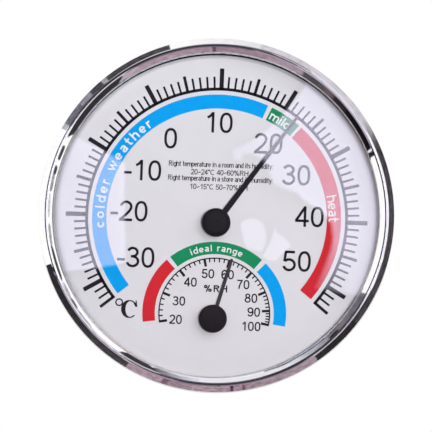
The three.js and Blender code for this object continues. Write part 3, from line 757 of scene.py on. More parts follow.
# A dial's prints: its arc, its ticks, its bands, its numbers, its unit and the words on its bands.
# Between the values given in "angles" the scale is even.
def makeDial(kind, d):
    values, angles = np.array(sorted(d["angles"].items())).T
    first, last = int(values[0]), int(values[-1])
    centre, ticks = np.array(d["centre"]), d["ticks"]
    edge = math.degrees(ticks[d["endTick"]][1] / 2 / d["arcInner"])
    arcMiddle = d["arcInner"] + d["arcWidth"] / 2
    scale = [arcPrint(centre, arcMiddle, d["arcWidth"], angles[0] + edge, angles[-1] - edge)]
    for value in range(first, last + 1, d["tickStep"]):
        size = "ten" if value % 10 == 0 else "five" if value % 5 == 0 else "minor"
        end, width = ticks[d["endTick"] if value in (first, last) else size]
        inner, outer = sorted((d["tickStart"], end))
        scale.append(tickPrint(centre, inner, outer, np.interp(value, values, angles), width))
    printPiece(f"{kind}_scale_ticks", scale, "black")
    middle, width = (d["bandInner"] + d["bandOuter"]) / 2, d["bandOuter"] - d["bandInner"]
    for colour, fromAngle, toAngle in d["bands"]:
        band = arcPrint(centre, middle, width, fromAngle, toAngle)
        printPiece(f"{kind}_band_{colour}", [band], colour)
    numbers = []
    for text, place in d["numbers"].items():
        numbers += numberPrint(text, centre + place, d["numberHeight"], d["numberWeight"])
    printPiece(f"{kind}_scale_numbers", numbers, "black")
    if "unit" in d:
        text, height, width, place, weight = d["unit"]
        printPiece(f"{kind}_unit", [wordPrint(text, height, width, centre + place, weight)], "black")
    words = [
        wordPrint(text, height, width, (centre, angle), weight, middle + shift, 2)
        for text, height, width, angle, weight, shift in d["words"]
    ]
    printPiece(f"{kind}_band_words", words, "white")


unitSign = {
    "height": 6.6, "centre": (-31.0, -35.6), "halfWidth": 0.375, "halfHeight": 0.47,
    "thin": 0.068, "thicker": 0.185, "ringCentre": (-35.1, -33.2), "ringRadius": 1.22, "ringWidth": 0.5,
}
rangeLines = {
    "height": 2.0, "weight": 0.145,
    "rows": [
        ("Right temperature in a room and its humidity:", 39.2, (1.05, 19.6)),
        ("20~24\N{DEGREE SIGN}C 40~60%RH", 21.6, (0.7, 16.65)),
        ("Right temperature in a store and its humidity:", 39.4, (1.0, 14.3)),
        ("10~15\N{DEGREE SIGN}C 50~70%RH", 21.8, (0.5, 11.15)),
    ],
}


# The unit's ring and its serif C: a strip along an open oval, thin + thicker cos^1.35 wide, thickest
# at its left, with a beak and a serif that are straight strips at its upper end.
def makeUnit(u):
    height, centre = u["height"], np.array(u["centre"])
    fromAngle, toAngle, thickest, count = 48, 315, 181, 60
    line = oval((0, 0), (u["halfWidth"], u["halfHeight"]), fromAngle, toAngle, count)
    bow = np.clip(np.cos(np.radians(np.linspace(fromAngle, toAngle, count) - thickest)), 0, 1)
    widths = (u["thin"] + u["thicker"] * bow**1.35) * height
    letter = carried(centre + line * height, widths, inkSection())
    beak = carried(centre + np.array([(0.335, 0.5), (0.36, 0.13)]) * height, [0.35, 0.75], inkSection())
    serif = carried(centre + np.array([(0.18, 0.43), (0.355, 0.2)]) * height, [0.4, 1.0], inkSection())
    circle = oval(u["ringCentre"], (u["ringRadius"],) * 2, 0, 350, 36)
    ring = carried(circle, u["ringWidth"], inkSection(), closed=True)
    printPiece("temperature_unit", [letter, beak, serif, ring], "black")


# Four short lines of plain advice in small print above the hub.
def makeRangeLines(r):
    shapes = [wordPrint(text, r["height"], width, place, r["weight"]) for text, width, place in r["rows"]]
    printPiece("range_lines", shapes, "black")


makeDial("temperature", bigDial)
makeDial("humidity", smallDial)
makeUnit(unitSign)
makeRangeLines(rangeLines)
print("prints made")

pointers = {
    "temperature": {
        "length": 49.8, "root": 2.3, "tip": 1.0, "rest": 54.6, "paint": needlePaint, "plastic": capPlastic,
    },
    "humidity": {
        "length": 23.5, "root": 1.4, "tip": 1.15, "rest": 74.3, "paint": thinnerPaint,
        "plastic": dullCapPlastic,
    },
}
needle = {"eyeInner": 0.8, "eyeOuter": 3.2, "bladeStart": 2.5, "tipRounding": 0.35, "edgeShare": 0.3}
hubCap = {
    "dimpleFloor": 0.55, "dimpleEdge": 0.7, "dimpleDepth": 0.1, "topShare": 0.72, "topRounding": 4,
    "domeDrop": 0.22, "rimRounding": 0.55, "boreRadius": 0.77, "boreDepth": 1.0,
}


# A needle: a flat strip whose width goes evenly from its root's to its tip's, with softly rounded
# edges, and a ring round the spindle.
def makeNeedle(kind, p, n):
    front, back, _ = reachOf(f"{kind}_needle")
    hub = np.array(hubPlaces[kind])
    t = np.linspace(0, 1, 24)
    reach = n["bladeStart"] + (p["length"] - n["bladeStart"]) * t
    width = p["root"] + (p["tip"] - p["root"]) * t
    width[-2:] = p["tip"] * 0.95, p["tip"] * 0.5
    reach[-2] = p["length"] - n["tipRounding"]
    edge = (back - front) * n["edgeShare"]
    section = [
        (-1, front + edge), (-0.85, front + edge * 0.2), (-0.6, front), (0.6, front),
        (0.85, front + edge * 0.2), (1, front + edge), (1, back - edge * 0.4), (0.9, back),
        (-0.9, back), (-1, back - edge * 0.4),
    ]
    blade = carried(hub + np.outer(reach, direction(p["rest"])), width, section)
    ring = rounded([
        (n["eyeInner"], front, 0.08), (n["eyeOuter"], front, 0.1), (n["eyeOuter"], back, 0.1),
        (n["eyeInner"], back, 0.05),
    ])
    shape = gathered(blade, turned(ring, 96, hub))
    makePiece(f"{kind}_needle_painted", shape, p["paint"], f"{kind}_pointer",
              [f"{kind}_needle"])


# A hub cap: a low dome with a rounded rim and a small dimple where it was gated.
def makeCap(kind, plastic, c):
    front, back, rightmost = reachOf(f"{kind}_hub_cap")
    radius, boreTop = rightmost - hubPlaces[kind][0], front + c["boreDepth"]
    outline = rounded([
        (0, front + c["dimpleDepth"]), (c["dimpleFloor"], front + 0.09, 0.1),
        (c["dimpleEdge"], front + 0.01, 0.1), (radius * c["topShare"], front, c["topRounding"]),
        (radius, front + c["domeDrop"], c["rimRounding"]), (radius, back, 0.12),
        (c["boreRadius"], back, 0.05), (c["boreRadius"], boreTop, 0.05), (0, boreTop),
    ], closed=False)
    shape = turned(outline, 128, hubPlaces[kind], closed=False)
    makePiece(f"{kind}_cap_moulded", shape, plastic, f"{kind}_pointer",
              [f"{kind}_hub_cap"])


for kind, pointer in pointers.items():
    makeNeedle(kind, pointer, needle)
    makeCap(kind, pointer["plastic"], hubCap)
print("pointers made")

case = {
    "flangeRadius": 65.1, "neckRadius": 64.2, "backRadius": 61.0, "backFlatRadius": 58.6,
    "coverHoleRadius": 55.9, "seatInnerRadius": 53.6, "rimInnerRadius": 62.9, "ledgeInnerRadius": 60.4,
    "neckLength": 1.2, "backEdgeDepth": -2.2, "backRounding": 2.6, "wall": 2.0, "seatThickness": 1.8,
    "ledgeThickness": 1.8, "gap": 0.25, "lugRadius": 3.4, "lugBore": 1.45, "lugPastScrew": 1.4,
}
cover = {
    "keyholeHeight": 38.5, "entryRadius": 4.3, "slotRadius": 2.2, "slotEnd": 47.0,
    "ventStart": 7.0, "ventLength": 14.0, "ventWidth": 2.0, "ventRows": (-8, -4, 0, 4, 8),
    "adjusterHole": 1.6, "bevel": 0.18, "headHole": 2.6, "shankHole": 1.5, "seat": -1.3,
}
screw = {
    "circle": 52.6, "angles": (45, 135, 225, 315), "headRadius": 2.3, "headHeight": 1.0,
    "shankRadius": 1.15, "threadHeight": 0.12, "pitch": 0.8, "slotWidth": 0.8, "slotDepth": 0.5,
    "slotTurns": (0.5, 1.6, 2.7, 3.8),
}  # the slots' turns are radians
screwPlaces = [screw["circle"] * direction(angle) for angle in screw["angles"]]


# The case's section turned round, with its four screw lugs as tubes against the wall.
def makeCase(c):
    front = reachOf("case_shell")[0]
    seat, ledge = reachOf("rear_cover")[0] - c["gap"], reachOf("dial_plate")[1] + c["gap"]
    flangeBack = reachOf("bezel_ring")[1] - 0.85
    outline = rounded([
        (c["rimInnerRadius"], front, 0.2), (c["flangeRadius"], front, 0.2),
        (c["flangeRadius"], flangeBack, 0.15), (c["neckRadius"], flangeBack, 0.1),
        (c["neckRadius"], flangeBack + c["neckLength"], 0.4),
        (c["backRadius"], c["backEdgeDepth"], c["backRounding"]),
        (c["backFlatRadius"] - 0.2, 0, 0.3), (c["coverHoleRadius"], 0, 0.25),
        (c["coverHoleRadius"], seat, 0.05), (c["seatInnerRadius"], seat, 0.2),
        (c["seatInnerRadius"], seat - c["seatThickness"], 0.2),
        (c["backRadius"] - c["wall"], seat - c["seatThickness"], 1.0),
        (c["neckRadius"] - c["wall"] - 0.9, ledge + c["ledgeThickness"] + 0.5, 0.8),
        (c["ledgeInnerRadius"], ledge + c["ledgeThickness"], 0.2), (c["ledgeInnerRadius"], ledge, 0.2),
        (c["rimInnerRadius"], ledge, 0.05),
    ])
    shapes = [turned(divided(outline, 1.2), 420)]
    lugFront = reachOf("cover_screw_1")[0] - c["lugPastScrew"]
    tube = rounded([
        (c["lugBore"], lugFront, 0.1), (c["lugRadius"], lugFront, 0.4), (c["lugRadius"], seat, 0.05),
        (c["lugBore"], seat, 0.3),
    ])
    shapes += [turned(tube, 48, place) for place in screwPlaces]
    makePiece("case_moulded", gathered(*shapes), casePlastic, "housing", ["case_shell"])


# The outline of a slot with round ends, lying along X.
def slotRing(x, z, length, width):
    ends = (x + length / 2 - width / 2, -90), (x - length / 2 + width / 2, 90)
    return np.concatenate([oval((end, z), (width / 2,) * 2, turn, turn + 180, 12) for end, turn in ends])


# The keyhole: a round entry below and a narrow slot with a round end above.
def keyholeRing(c):
    halfMouth = math.degrees(math.asin(c["slotRadius"] / c["entryRadius"]))
    entry = oval((0, c["keyholeHeight"]), (c["entryRadius"],) * 2, 90 + halfMouth, 450 - halfMouth, 48)
    end = oval((0, c["slotEnd"]), (c["slotRadius"],) * 2, 0, 180, 20)
    return np.concatenate([entry, end])


# The rear cover: an outer and an inner layer, so that the screw holes step down to a seat, with the
# keyhole, a hole over each adjuster and air slots beside it.
def makeCover(c):
    front, back, radius = reachOf("rear_cover")
    holes = [keyholeRing(c)]
    for kind in ("temperature", "humidity"):
        x, z = hubPlaces[kind]
        holes.append(oval((x, z), (c["adjusterHole"],) * 2, 0, 350, 36))
        for row in c["ventRows"]:
            for side in (-1, 1):
                middle = side * (c["ventStart"] + c["ventLength"] / 2)
                holes.append(slotRing(middle, z + row, c["ventLength"] + 1, c["ventWidth"]))
    edge = oval((0, 0), (radius, radius), 0, 359, 360)
    headHoles = [oval(place, (c["headHole"],) * 2, 0, 352, 48) for place in screwPlaces]
    shankHoles = [oval(place, (c["shankHole"],) * 2, 0, 350, 36) for place in screwPlaces]
    outer = flatPlate([edge, *holes, *headHoles], c["seat"], back, c["bevel"])
    inner = flatPlate([edge * 0.9995, *holes, *shankHoles], front, c["seat"] + 0.4, 0.1)
    makePiece("cover_moulded", gathered(outer, inner), coverPlastic, "housing",
              ["rear_cover"], sharp=10)


# A slotted screw: a disc with two half moons on it that leave the slot between them, and a shank
# whose radius ripples by the thread's height times the cosine of 2 pi y over the pitch.
def makeScrew(s, number, place, turn):
    node = f"cover_screw_{number}"
    front, back, _ = reachOf(node)
    shank, head = s["shankRadius"], s["headRadius"]
    headFront, slotFloor = back - s["headHeight"], back - s["slotDepth"]
    y = np.linspace(front + 0.9, headFront, 121)
    ripple = shank + s["threadHeight"] * np.cos(2 * np.pi * y / s["pitch"])
    outline = np.concatenate([
        [(0, front), (0.25, front + 0.05)], np.stack([ripple, y], 1),
        rounded([(shank, headFront), (head, headFront, 0.15), (head, slotFloor, 0.02), (0, slotFloor)],
                closed=False),
    ])
    shapes = [turned(outline, 48, place, closed=False)]
    cut = math.degrees(math.asin(s["slotWidth"] / 2 / head))
    cosine, sine = math.cos(turn), math.sin(turn)
    for side in (0, 180):
        moon = oval((0, 0), (head - 0.01,) * 2, side + cut, side + 180 - cut, 40)
        moon = moon @ np.array([[cosine, sine], [-sine, cosine]]) + place
        shapes.append(flatPlate([moon], slotFloor - 0.02, back, 0.12))
    makePiece(f"{node}_plated", gathered(*shapes), zincPlate, "housing", [node])


makeCase(case)
makeCover(cover)
for number, (place, turn) in enumerate(zip(screwPlaces, screw["slotTurns"]), 1):
    makeScrew(screw, number, place, turn)
print("case and cover made")

view = {
    "distance": 1000.0, "elevation": -5.5, "roll": 2.0, "lens": 224.75,
    "aimRight": -0.16, "aimDepth": -20.0, "aimUp": -0.45,
}


# The camera looks at the bezel's middle from a distance, a little from below, and rolled.
def makeCamera(v):
    e, g = math.radians(v["elevation"]), math.radians(v["roll"])
    aim = Vector((v["aimRight"], v["aimDepth"], v["aimUp"])) * mm
    back = Vector((0, -math.cos(e), math.sin(e)))
    right = Vector((1, 0, 0))
    up = back.cross(right)
    turnedRight = right * math.cos(g) + up * math.sin(g)
    turnedUp = up * math.cos(g) - right * math.sin(g)
    data = bpy.data.cameras.new("camera")
    data.lens, data.sensor_width = v["lens"], 36
    data.clip_start, data.clip_end = 0.01, 50
    camera = newObject("camera", data)
    place = aim + back * v["distance"] * mm
    axes = Matrix((turnedRight, turnedUp, back)).transposed().to_4x4()
    camera.matrix_world = Matrix.Translation(place) @ axes
    bpy.context.scene.camera = camera
    return place / mm


# The world is soft white light, and plain white where it is looked at or mirrored.
def makeWorld(lightLevel):
    world = bpy.data.worlds.new("studio")
    bpy.context.scene.world = world
    world.use_nodes = True
    tree = world.node_tree
    tree.nodes.clear()
    path = addNode(tree, "LightPath").outputs
    seen = worked(tree, "MAXIMUM", path["Is Camera Ray"], path["Is Glossy Ray"])
    seen = worked(tree, "MAXIMUM", seen, path["Is Transmission Ray"])
    light = addNode(tree, "Background", i0=(1, 1, 1, 1), i1=lightLevel).outputs[0]
    plain = addNode(tree, "Background", i0=(1, 1, 1, 1), i1=1.0).outputs[0]
    mix = addNode(tree, "MixShader", i0=seen, i1=light, i2=plain)
    tree.links.new(mix.outputs[0], addNode(tree, "OutputWorld").inputs["Surface"])


# A round lamp that faces the instrument's middle and isn't mirrored.
def makeLamp(name, place, size, power):
    data = bpy.data.lights.new(name, "AREA")
    data.shape, data.size, data.energy = "DISK", size, power
    lamp = newObject(name, data)
    place = Vector(place)
    lamp.matrix_world = Matrix.Translation(place) @ place.to_track_quat("Z", "Y").to_matrix().to_4x4()
    lamp.visible_glossy = lamp.visible_transmission = False


# A stage sheet that holds a tint at each of its points. Its material shows what shaderFrom makes of
# the tint, and rays of the kinds named pass it by.
def makeSheet(name, points, faces, tints, shaderFrom, hiddenFrom):
    material = bpy.data.materials.new(name)
    material.use_nodes = True
    material.cycles.emission_sampling = "NONE"
    tree = material.node_tree
    tree.nodes.clear()
    tint = addNode(tree, "Attribute", {"attribute_name": "tint"}).outputs
    shader = shaderFrom(tree, tint)
    tree.links.new(shader.outputs[0], addNode(tree, "OutputMaterial").inputs["Surface"])
    mesh = bpy.data.meshes.new(name)
    mesh.from_pydata((np.asarray(points) * mm).tolist(), [], np.asarray(faces).tolist())
    mesh.materials.append(material)
    colours = mesh.color_attributes.new("tint", "FLOAT_COLOR", "POINT")
    colours.data.foreach_set("color", np.asarray(tints, float).ravel())
    sheet = newObject(name, mesh)
    for ray in hiddenFrom:
        setattr(sheet, f"visible_{ray}", False)


# A card with its own glow at each point, seen only in mirrors: a painted reflection. Each point's
# fourth value is how much the noise lightens and darkens its glow: glow (1 + mottle (noise - 1/2)).
def makePaintedReflection(name, points, faces, glows, grain=(30.0, 30.0, 30.0), seenThroughGlass=True):
    def glowing(tree, tint):
        place = addNode(tree, "TexCoord").outputs["Object"]
        stretched = addNode(tree, "Mapping", i0=place, i3=[10.0 / g for g in grain]).outputs[0]
        grains = ranged(tree, noise(tree, stretched, 10.0, 4.0, 0.6), -0.5, 0.5)
        shade = worked(tree, "MULTIPLY_ADD", grains, tint["Alpha"], 1.0)
        return addNode(tree, "Emission", i0=tint["Color"], i1=shade)

    hidden = ["camera", "diffuse", "shadow", "volume_scatter"]
    hidden += [] if seenThroughGlass else ["transmission"]
    makeSheet(name, points, faces, glows, glowing, hidden)


# The share of an outline's inside at each point: its distance d to the nearest side, negative
# outside, goes through a smooth step 3 u^2 - 2 u^3 with u = 0.5 + d / soft.
def insideShare(points, outline, soft):
    starts = np.array(outline, float)
    ends = np.roll(starts, -1, 0)
    nearest = np.full(len(points), 1e9)
    inside = np.zeros(len(points), bool)
    for a, b in zip(starts, ends):
        along = b - a
        t = np.clip((points - a) @ along / (along @ along), 0, 1)
        nearest = np.minimum(nearest, np.linalg.norm(points - a - t[:, None] * along, axis=1))
        crosses = (a[1] > points[:, 1]) != (b[1] > points[:, 1])
        rise = along[1] if along[1] else 1e-9
        inside ^= crosses & (points[:, 0] < a[0] + (points[:, 1] - a[1]) / rise * along[0])
    u = np.clip(0.5 + np.where(inside, nearest, -nearest) / soft, 0, 1)
    return 3 * u * u - 2 * u**3


# The painted shade of the lip: where it starts, how far it reaches, and its share at each angle.
lip = {
    "start": 57.2, "reach": 2.5, "power": 1.8,
    "shares": [
        (0, 0.6), (10, 0.68), (30, 0.78), (50, 0.72), (72, 0.28), (90, 0), (125, 0), (150, 0.3),
        (170, 0.45), (190, 0.52), (210, 0.4), (230, 0.2), (250, 0), (330, 0), (350, 0.48), (360, 0.6),
    ],
}


# Painted shade of the bezel's lip on the dial near it, laid on through the net: the lip's share at
# the angle times u^power, u going from 0 at the shade's start to 1.
def paintedLipShade(points):
    radius, angle = np.hypot(*points.T), np.degrees(np.arctan2(points[:, 1], points[:, 0])) % 360
    u = np.clip((radius - lip["start"]) / lip["reach"], 0, 1)
    return np.interp(angle, *np.transpose(lip["shares"])) * u ** lip["power"]


# Where the painted window reflections and the net of painted shade lie: paintedLightRise makes the dial's
# light rise upward and paintedEdgeShade darkens it near its edge, both painted shade.
glassView = {
    "half": 68, "pitch": 0.55, "cardDepth": 520.0, "netDepth": -26.0, "netShare": 0.95, "paintedLightRise": 0.0008,
    "edgeStart": 51.5, "edgeReach": 4, "paintedEdgeShade": 0.06,
}


# Painted reflections of windows in the glass, on one glowing card, and a net of painted shade that
# dims the front lamp on the dial behind them. A point on the glass is carried on to the card along
# the line from the camera's mirror image through it, and to the net along the line from the dial's
# point behind it to the lamp. The net lets through netShare + paintedLightRise z, a painted shade
# that darkens the dial towards the bottom, and less in the windows, in the hub caps' painted
# shadows, in the lip's painted shade and near the dial's edge.
def makePaintedReflectionsAndShade(g, paintedPatches, cameraPlace, lampPlace, paintedRoomGlow):
    glassFront = reachOf("lens")[0]
    reach = np.arange(-g["half"], g["half"] + g["pitch"], g["pitch"])
    x, z = np.meshgrid(reach, reach, indexing="ij")
    flat = np.stack([x.ravel(), z.ravel()], 1)
    glow, paintedDim = np.tile(paintedRoomGlow, (len(flat), 1)), g["netShare"] + flat[:, 1] * g["paintedLightRise"]
    for w in paintedPatches:
        share = insideShare(flat, w["outline"], w["soft"])
        if "fade" in w:
            start, end, least = (np.array(part, float) for part in w["fade"])
            t = np.clip((flat - start) @ (end - start) / ((end - start) @ (end - start)), 0, 1)
            share = share * (least + (1 - least) * t)
        glow[:, :3] += share[:, None] * paintedReflectionTint * w["glow"]
        paintedDim -= share * w["paintedDim"]
    shade = paintedLipShade(flat)
    nearEdge = np.clip((np.hypot(*flat.T) - g["edgeStart"]) / g["edgeReach"], 0, 1)
    paintedDim *= (1 - shade) * (1 - g["paintedEdgeShade"] * nearEdge)
    glow[:, :3] *= (1 - shade)[:, None]
    spots = np.stack([flat[:, 0], np.full(len(flat), glassFront), flat[:, 1]], 1)
    image = np.array([cameraPlace.x, 2 * glassFront - cameraPlace.y, cameraPlace.z])
    onward = (-g["cardDepth"] - glassFront) / (glassFront - image[1])
    faces = gridFaces(len(reach), len(reach), False, False)
    makePaintedReflection("paintedWindowReflections", spots + (spots - image) * onward, faces, glow)
    camera, lamp = np.array(cameraPlace), np.array(lampPlace) / mm
    onDial = spots + (spots - camera) * (dialFront - glassFront) / (glassFront - camera[1])
    towards = (g["netDepth"] - dialFront) / (lamp[1] - dialFront)
    # The net of painted shade: a sheet that only shadow rays meet, dimming the front lamp.
    makeSheet(
        "paintedShadeNet", onDial + (lamp - onDial) * towards, faces, paintedDim[:, None] * (1.0, 1.0, 1.0, 0.0),
        lambda tree, tint: addNode(tree, "BsdfTransparent", i0=tint["Color"]),
        ["camera", "diffuse", "glossy", "transmission", "volume_scatter"],
    )


# A drum of glowing cards round the instrument, seen only in mirrors: painted reflections in the chrome
# bezel's slopes, placed strip by strip where each slope mirrors it.
drum = {
    "radius": 250.0, "wall": (30, 0), "rim": (-38, 17), "near": (-80, 25), "far": (-171, 21),
    "deep": (-700, 0), "slope": 37.0, "outerSlopeAt": 64.4, "innerSlopeAt": 61.6, "slopeDepth": -23.0,
    "stripStep": 4, "stripGrain": (10, 5, 10), "spotRadius": 247.5, "spotSteps": 16, "spotGrain": (6, 3, 6),
}


# The angle on the drum that one of the bezel's slopes mirrors where it is seen at an angle of the
# picture: the camera's ray d turned to d - 2 (d n) n and carried on to the drum's radius.
def mirroredAngle(seenAt, isOuter, cameraPlace):
    a, slope = math.radians(seenAt + view["roll"]), math.radians(drum["slope"])
    side, radius = (1, drum["outerSlopeAt"]) if isOuter else (-1, drum["innerSlopeAt"])
    out = np.array([math.cos(a), 0, math.sin(a)])
    spot = radius * out + (0, drum["slopeDepth"], 0)
    normal = side * math.sin(slope) * out - (0, math.cos(slope), 0)
    ray = spot - np.array(cameraPlace)
    ray /= np.linalg.norm(ray)
    ray -= 2 * (ray @ normal) * normal
    flatRay, flatSpot = ray[[0, 2]], spot[[0, 2]]
    b, c = flatRay @ flatSpot, flatSpot @ flatSpot - drum["radius"] ** 2
    reach = (-b + math.sqrt(b * b - (flatRay @ flatRay) * c)) / (flatRay @ flatRay)
    hit = flatSpot + flatRay * reach
    return math.degrees(math.atan2(hit[1], hit[0]))


# A glow given as one number is a grey, and the darker it is the more it leans to purple.
def glowOf(value):
    if isinstance(value, tuple):
        return np.array(value)
    return value * np.array((1.0, 0.895 if value < 0.15 else 0.955, 1.03))


# The depth of the drum at an angle t, given as a pair (middle, swing): middle + swing sin t.
def drumDepth(pair, t):
    return pair[0] + pair[1] * np.sin(t)


# Shares of the way between two angles of the picture, and the drum's angles mirrored there.
def drumAngles(low, high, count, isOuter, cameraPlace):
    share = np.linspace(0, 1, count)
    angles = [mirroredAngle(low + (high - low) * s, isOuter, cameraPlace) for s in share]
    return share, np.radians(np.unwrap(angles, period=360))


# A sheet on the drum between two lines of depths.
def drumSheet(radius, t, depths):
    lines = [np.stack([radius * np.cos(t), depth, radius * np.sin(t)], 1) for depth in depths]
    return np.concatenate(lines), gridFaces(2, len(t), False, False)


# A band of painted reflection on the drum between two depths, made of strips. Each strip is (seen
# to, glow at its start, glow at its end) and starts where the one before it ends. The darker a
# strip, the more it is mottled: by 1.4 - 1.3 times its mean glow, kept between 0.15 and 1.3.
def makePaintedReflectionBand(name, strips, isOuter, cameraPlace, fromDepth, toDepth):
    shapes, glows, low = [], [], 0
    for high, first, *rest in strips:
        count = max(2, math.ceil((high - low) / drum["stripStep"]) + 1)
        share, t = drumAngles(low, high, count, isOuter, cameraPlace)
        shapes.append(drumSheet(drum["radius"], t, [drumDepth(fromDepth, t), drumDepth(toDepth, t)]))
        first, last = glowOf(first), glowOf(rest[0] if rest else first)
        tints = first + (last - first) * share[:, None]
        mottle = np.clip(1.4 - 1.3 * tints.mean(1), 0.15, 1.3)
        glows += [np.column_stack([tints, mottle])] * 2
        low = high
    makePaintedReflection(name, *gathered(*shapes), np.concatenate(glows), drum["stripGrain"], False)


# Dark spots of painted reflection on the drum. Each is (seen from, seen to, side towards the near
# depth, side towards the far depth, glow, mottle), the sides as shares of the way from near to far,
# and it narrows towards both its ends as (1 - u^4)^(1/2), u going from -1 to 1 along it.
def makePaintedReflectionSpots(name, spots, cameraPlace):
    shapes, glows = [], []
    for low, high, fromSide, toSide, glow, mottle in spots:
        share, t = drumAngles(low, high, drum["spotSteps"], False, cameraPlace)
        near, far = drumDepth(drum["near"], t), drumDepth(drum["far"], t)
        half = (toSide - fromSide) / 2 * np.sqrt(1 - np.abs(2 * share - 1) ** 4)
        middle = (fromSide + toSide) / 2
        depths = [near + (far - near) * side for side in (middle - half, middle + half)]
        shapes.append(drumSheet(drum["spotRadius"], t, depths))
        glows.append(np.tile([*glowOf(glow), mottle], (2 * len(t), 1)))
    makePaintedReflection(name, *gathered(*shapes), np.concatenate(glows), drum["spotGrain"], False)


worldLight = 0.16
lamps = {
    "frontLamp": ((0.10, -0.95, -0.08), 0.1, 7.9),
    "sideLamp": ((0.38, -0.88, 0.14), 0.3, 1.7),
    "backLamp": ((-0.45, 0.95, 0.45), 0.4, 7.5),
    "edgeLamp": ((0.95, 0.3, 0.1), 0.4, 5.0),
}  # place and size in metres, and watts
makeWorld(worldLight)
cameraPlace = makeCamera(view)
for name, lamp in lamps.items():
    makeLamp(name, *lamp)

# Patches of painted reflection of windows in the glass, tinted paintedReflectionTint, each with the painted
# shade (paintedDim) that the net lays on the dial behind it.
paintedReflectionTint = np.array((1.0, 0.97, 1.2))
paintedPatches = [
    {"soft": 1.6, "glow": 3.6, "paintedDim": 0.27, "outline": [
        (-70, 35.6), (-52.8, 27.3), (-45.6, 23.8), (-40.3, 20.9), (-34.8, 18.1), (-33.3, -18.7),
        (-35.8, -19.5), (-44.2, -21.3), (-70, -25)]},
    {"soft": 2.4, "glow": 4.6, "paintedDim": 0.36, "fade": ((5, 20), (17, 29), 0.3), "outline": [
        (28.0, 43.9), (22.1, 36.5), (14.3, 29.7), (7.9, 25.9), (5.4, 24.5), (5.8, 21.4), (8.0, 20.9),
        (9.3, 23.2), (12.4, 23.6), (16.2, 21.8), (18.5, 19.6), (19.3, 16.7), (20.8, 12.4), (25.1, 10.8),
        (29.8, 9.4), (32.6, 6.7), (37.6, 3.9), (41.4, 0.5), (42.9, -2), (43.6, -6.9), (42.9, -11.6),
        (39.8, -20.8), (37.8, -25.8), (44, -26.7), (58, -28.9), (72, -30), (72, 60), (38, 60)]},
    {"soft": 1.0, "glow": 1.9, "paintedDim": 0.07, "outline": [
        (9.1, -3.0), (10.6, -1.5), (13.4, -0.7), (16.2, -1.6), (17.9, -3.6), (18.7, -6.8), (18.6, -10.1),
        (17.0, -12.9), (14.7, -12.6), (11.7, -11.6), (10.5, -9.4), (9.7, -6.2)]},
    {"soft": 1.0, "glow": 2.0, "paintedDim": 0.07, "outline": [
        (21.8, -3.9), (22.3, -5.8), (24.7, -7.0), (26.8, -8.8), (28.2, -10.5), (26.2, -11.9), (24.4, -13.9),
        (22.3, -16.2), (19.9, -15.9), (17.7, -14.5), (19.3, -11.5), (20.5, -8.6), (21.2, -6.3)]},
    # Painted shadows of the two hub caps on the dial: patches that only dim the lamp, with no glow.
    {"soft": 5.0, "glow": 0, "paintedDim": 0.24, "outline": oval((-1.3, -4.3), (6.1, 5.9), 0, 340, 18)},
    {"soft": 5.0, "glow": 0, "paintedDim": 0.24, "outline": oval((-1.4, -39.9), (6.1, 5.9), 0, 340, 18)},
]
# A faint painted reflection of the room, over the whole window card and the dark card.
paintedRoomGlow = (0.03, 0.028, 0.034, 0.05)
makePaintedReflectionsAndShade(glassView, paintedPatches, cameraPlace, lamps["frontLamp"][0], paintedRoomGlow)
square = np.array([(-1, -1), (1, -1), (1, 1), (-1, 1)])
# A dark card before the instrument, seen only in mirrors: a painted dark reflection of the room.
room = {"half": 3500.0, "depth": 1150.0}
roomCorners = np.insert(square * room["half"], 1, -room["depth"], axis=1)
makePaintedReflection("paintedDarkRoom", roomCorners, [[0, 1, 2, 3]], [paintedRoomGlow] * 4)

# Glows of the painted reflections in the bezel's slopes, listed by the angle of the picture where they show.
white = (1.17, 1.165, 1.15)
nearStrips = [
    (22, 0.08, 0.062), (25, 0.07, 0.12), (32, 0.15, 0.58), (75, 0.68, 0.76),
    (105.5, (0.9, 0.89, 0.91), white), (129, 0.08), (131, 0.4), (136, 0.07), (141, (0.3, 0.29, 0.34)),
    (149, (0.16, 0.155, 0.18), (0.2, 0.2, 0.24)), (151, (0.5, 0.5, 0.55)), (197, white), (213, 0.03),
    (239.5, 0.04, 0.068), (252, (0.40, 0.29, 0.345), (0.46, 0.33, 0.39)), (254, (0.2, 0.12, 0.16)),
    (262, (0.34, 0.25, 0.29)), (274.5, (0.46, 0.34, 0.39), (0.4, 0.29, 0.34)),
    (275.5, (0.12, 0.04, 0.08)), (278.3, (0.38, 0.27, 0.32)), (279.2, (0.22, 0.12, 0.16)),
    (304.5, (0.36, 0.265, 0.31), (0.40, 0.31, 0.36)), (322, 0.03), (360, 0.06, 0.08),
]
farStrips = [
    (20.5, white), (22.3, 0.012), (23.2, 0.9), (39, (0.01, 0.008, 0.013)), (45, (0.03, 0.024, 0.033)),
    (50, (0.14, 0.10, 0.12)), (58.5, (0.095, 0.08, 0.095)), (72, (0.40, 0.31, 0.37)),
    (90, (0.37, 0.26, 0.32), (0.34, 0.24, 0.29)), (91.2, (0.11, 0.07, 0.09)),
    (118, (0.42, 0.31, 0.36), (0.45, 0.33, 0.38)), (125, (0.55, 0.43, 0.49)), (150, (0.62, 0.58, 0.63)),
    (248, white), (264, (0.11, 0.11, 0.13), (0.85, 0.86, 0.95)),
    (296, (0.95, 0.94, 1.0), (0.88, 0.87, 0.94)), (312, (0.85, 0.84, 0.92), (0.28, 0.27, 0.32)),
    (332, (0.19, 0.18, 0.21), (0.16, 0.155, 0.185)), (360, white),
]
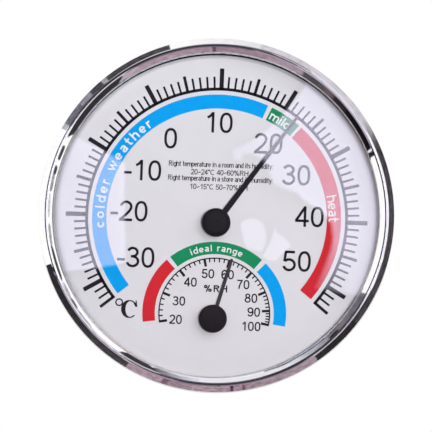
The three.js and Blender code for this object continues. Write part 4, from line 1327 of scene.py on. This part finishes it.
darkSpots = [
    (124, 152.5, -0.1, 0.97, 0.04, 1.2), (155.5, 161, 0.15, 0.55, 0.08, 1.0),
    (163, 166.5, 0.15, 0.6, 0.07, 1.5), (166, 172, 0.2, 0.6, 0.4, 1.9),
    (172.5, 181, 0.25, 0.55, 0.7, 1.8), (183, 191, 0.2, 0.45, 0.45, 1.9),
    (190.5, 203.5, 0.2, 0.55, 0.08, 1.5), (204, 210, 0.2, 0.5, 0.5, 1.9),
    (210, 214.5, 0.2, 0.6, 0.12, 1.6), (214.5, 222, 0.3, 0.5, 0.5, 1.9),
    (234.5, 249, -0.05, 0.9, 0.05, 1.0), (312, 316.5, 0.2, 0.6, 0.02, 1.6),
]
deepStrips = [
    (30, white), (72, (0.58, 0.54, 0.6)), (104, (0.16, 0.13, 0.17)), (150, 0.06), (200, 0.01), (240, 0.6),
    (256, (0.45, 0.34, 0.4)), (305, (0.16, 0.14, 0.18)), (332, 0.66, 0.82), (360, white),
]
makePaintedReflectionBand("rimBand", [(360, white)], True, cameraPlace, drum["wall"], drum["rim"])
makePaintedReflectionBand("nearBand", nearStrips, True, cameraPlace, drum["rim"], drum["near"])
makePaintedReflectionBand("farBand", farStrips, False, cameraPlace, drum["near"], drum["far"])
makePaintedReflectionSpots("darkSpots", darkSpots, cameraPlace)
makePaintedReflectionBand("deepBand", deepStrips, True, cameraPlace, drum["far"], drum["deep"])

floor = {"below": 1450.0, "half": 9000.0, "ownGlow": 0.62}


# A wide pale floor, as far below as the instrument hangs above it. Where it is looked at it has a
# glow of its own besides the light it throws back.
def makeFloor(f):
    material, tree, shader = newMaterial("paleFloor", {"Roughness": 0.6})
    grain = noise(tree, coordinates(tree), 60.0, 5.0)
    tree.links.new(blended(tree, grain, (0.86, 0.86, 0.86), (0.90, 0.90, 0.90)), shader.inputs["Base Color"])
    own = worked(tree, "MULTIPLY", addNode(tree, "LightPath").outputs["Is Camera Ray"], f["ownGlow"])
    tree.links.new(own, shader.inputs["Emission Strength"])
    tree.links.new(blended(tree, grain, (0.98, 0.98, 0.98), (1, 1, 1)), shader.inputs["Emission Color"])
    corners = np.insert(square * f["half"], 2, -f["below"], axis=1)
    makePiece("floor", (corners, [[0, 1, 2, 3]]), material, None)


makeFloor(floor)
bpy.context.scene.view_settings.view_transform = "Standard"
print("camera, lamps and surroundings made")
